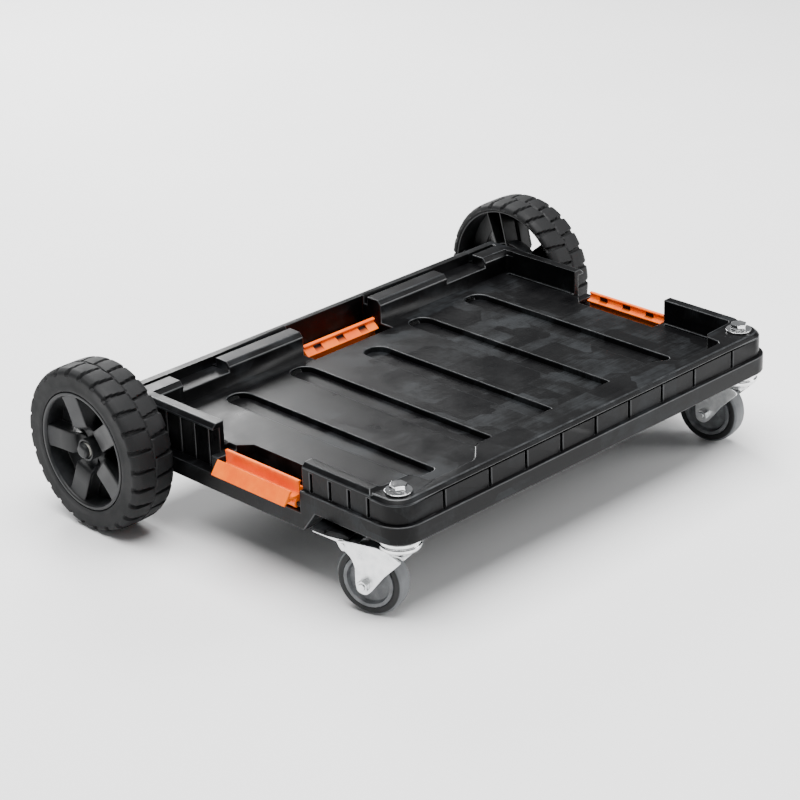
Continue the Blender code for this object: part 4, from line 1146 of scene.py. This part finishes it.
@dataclass
class Castor:
    """One swivel castor: cups, pressed fork, wheel, bolts and the pedal brake."""

    side: Side
    turns: int = 96
    shoulder: float = 3.2 * MM       # how far in from the tread the cheek ends
    crown_wide: float = 2.6 * MM     # how far the tread's crown drops away, and over what width
    crown_drop: float = 0.5 * MM

    def tyre(self) -> None:
        """Turn the tyre's section: flat cheeks painted dark as painted shade, a crowned tread and a bore that
        grips the hub.
        """
        word = self.side.word
        node = f"castor_tyre_{word}"
        point, axis = joint_line(f"castor_{word}_spin")
        radius, bore = half_span(node, 2), half_span(f"castor_hub_{word}", 2)
        half = (half_span(node, 0) - radius * abs(axis.y)) / abs(axis.x)    # X span = width|ax| + 2r|ay|
        outline = [(half, bore), (half, radius - self.shoulder),
                   (half - self.crown_wide, radius - self.crown_drop), (0, radius),
                   (-half + self.crown_wide, radius - self.crown_drop), (-half, radius - self.shoulder),
                   (-half, bore)]
        section = eased(outline, 1.6 * MM, 5)
        # 1 on the flat cheeks, which the finish paints dark as painted shade of the tyre's sides.
        cheek = smooth_step(half - 1.0 * MM, half - 0.3 * MM, np.abs(section[:, 0]))
        points = turned(section, point, axis, self.turns)
        mesh = grid_mesh(node + "_turned", points, band=np.broadcast_to(cheek, points.shape[:2]))
        place_piece(node + "_turned", mesh, f"castor_wheel_{word}", Finish.CASTOR_TYRE,
                    [node])

    def build(self) -> None:
        """Make the whole castor."""
        word = self.side.word
        swivel, wheel, brake = f"castor_swivel_{word}", f"castor_wheel_{word}", f"brake_{word}"
        self.tyre()
        rounded_piece(f"castor_hub_{word}_moulding", f"castor_hub_{word}", wheel, Finish.HUB_PP,
                      "hub_polypropylene", 0.5 * MM)
        CastorHead(self.side).build()
        zinc, chrome = (Finish.ZINC, "zinc_steel"), (Finish.CHROME, "chrome_steel")
        black = (Finish.BLACK_PP, "black_polypropylene")
        for name, node, body, look, width in (
                ("castor_cup_top_{}", "castor_race_fixed", "platform", chrome, 0.8),
                ("castor_bolt_{}_head", "castor_bolt", "platform", chrome, 0.7),
                ("castor_washer_{}_disc", "castor_washer", "platform", chrome, 0.4),
                ("brake_pedal_{}_moulding", "brake_pedal", brake, black, 0.8),
                ("brake_lever_{}_pressing", "brake_lever", brake, zinc, 0.5),
                ("castor_axle_bolt_{}_head", "castor_axle_bolt", swivel, zinc, 0.4)):
            rounded_piece(name.format(word), f"{node}_{word}", body, *look, width * MM)
        for node in ("castor_nut", "castor_axle_nut", "brake_pin"):
            dress(f"{node}_{word}", Finish.ZINC)
        dress(f"castor_bush_{word}", Finish.NYLON)


# ------------------------------------------------------------------- studio


@dataclass
class Studio:
    """Pale floor, soft lights and the camera."""

    yaw: float = -43.97        # degrees from +Y towards +X
    pitch: float = 24.39       # degrees below level
    roll: float = -2.13
    lens: float = 114.0        # millimetres on a 36 mm square sensor
    eye: tuple[float, float, float] = (-1.9048, -1.9305, 1.3142)
    floor_size: float = 60.0
    floor_gap: float = 0.2 * MM    # between the floor and the wheels
    surround: float = 0.32     # the world's strength

    def camera(self) -> None:
        """Stand the camera up from its angles and make it the scene's camera."""
        yaw, pitch, roll = (math.radians(v) for v in (self.yaw, self.pitch, self.roll))
        look = Vector((-math.sin(yaw) * math.cos(pitch), math.cos(yaw) * math.cos(pitch), -math.sin(pitch)))
        level = Vector((math.cos(yaw), math.sin(yaw), 0))
        above = level.cross(look)
        right = math.cos(roll) * level + math.sin(roll) * above
        up = -math.sin(roll) * level + math.cos(roll) * above
        data = bpy.data.cameras.new("camera")
        data.lens = self.lens
        data.sensor_width = 36.0
        camera = bpy.data.objects.new("camera", data)
        camera.matrix_world = Matrix.Translation(self.eye) @ Matrix((right, up, -look)).transposed().to_4x4()
        bpy.context.scene.collection.objects.link(camera)
        bpy.context.scene.camera = camera

    def floor(self) -> None:
        """Lay a wide pale floor with a slight matt mottle just under the wheels."""
        far = self.floor_size / 2
        corners = np.array([(-far, -far, 0), (far, -far, 0), (far, far, 0), (-far, far, 0)])
        mesh = raw_mesh("floor", corners, [[0, 1, 2, 3]])
        floor = bpy.data.objects.new("floor", mesh)
        floor.location.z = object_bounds()[0][2] - self.floor_gap
        material, tree, coords = start_material("pale studio paper")
        noise = add(tree, "TexNoise", {"Vector": coords}, in_Scale=3.0)
        colour = ramp(tree, noise.outputs[0], [(0.3, "f6f6f6"), (0.7, "f9f9f9")])
        shader = add(tree, "BsdfPrincipled", {"Base Color": colour}, in_Roughness=0.9,
                     in_Specular_IOR_Level=0.1)
        add(tree, "OutputMaterial", {"Surface": shader.outputs[0]})
        mesh.materials.append(material)
        bpy.context.scene.collection.objects.link(floor)
        floor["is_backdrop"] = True

    def lamp(self, name: str, spot: tuple[float, float, float], aim: tuple[float, float, float],
             size: tuple[float, float], power: float) -> None:
        """Hang one soft rectangular lamp.

        Args:
            name: Its name.
            spot: Where it hangs.
            aim: Where it points.
            size: Its width and height.
            power: Its power in watts.
        """
        data = bpy.data.lights.new(name, "AREA")
        data.shape = "RECTANGLE"
        data.size, data.size_y = size
        data.energy = power
        lamp = bpy.data.objects.new(name, data)
        lamp.location = spot
        lamp.rotation_euler = (Vector(aim) - Vector(spot)).to_track_quat("-Z", "Y").to_euler()
        bpy.context.scene.collection.objects.link(lamp)

    def lights(self) -> None:
        """Light with a pale surround, a broad lamp overhead, and a panel behind that the deck mirrors."""
        world = bpy.data.worlds.new("surround")
        world.use_nodes = True
        backdrop = world.node_tree.nodes["Background"].inputs
        backdrop["Color"].default_value = linear("f4f6f8")
        backdrop["Strength"].default_value = self.surround
        bpy.context.scene.world = world
        self.lamp("overhead", (-0.2, 0.0, 3.4), (0, 0, 0), (3.6, 3.6), 380)
        self.lamp("back panel", (1.0, 2.25, 1.32), (-0.25, 0.0, 0.12), (1.0, 0.9), 60)
        self.lamp("front fill", (2.6, -2.4, 1.6), (0, -0.1, 0.1), (1.8, 1.6), 70)


def main() -> None:
    """Build the studio, then each sub-assembly in turn."""
    logging.basicConfig(level=logging.INFO, format="%(name)s %(message)s")
    studio = Studio()
    studio.camera()
    studio.floor()
    studio.lights()
    parts = [Platform(), Latch("left", (-1.0, 0.0, 0.0), SIDE_LATCH),
             Latch("right", (1.0, 0.0, 0.0), SIDE_LATCH), Latch("rear", (0.0, 1.0, 0.0), REAR_LATCH)]
    parts += [RearWheel(side) for side in Side]
    parts += [Castor(side) for side in Side]
    for part in parts:
        part.build()
        LOG.info("built %s", part)
    dress("rear_axle", Finish.ZINC)


if __name__ == "__main__":
    main()
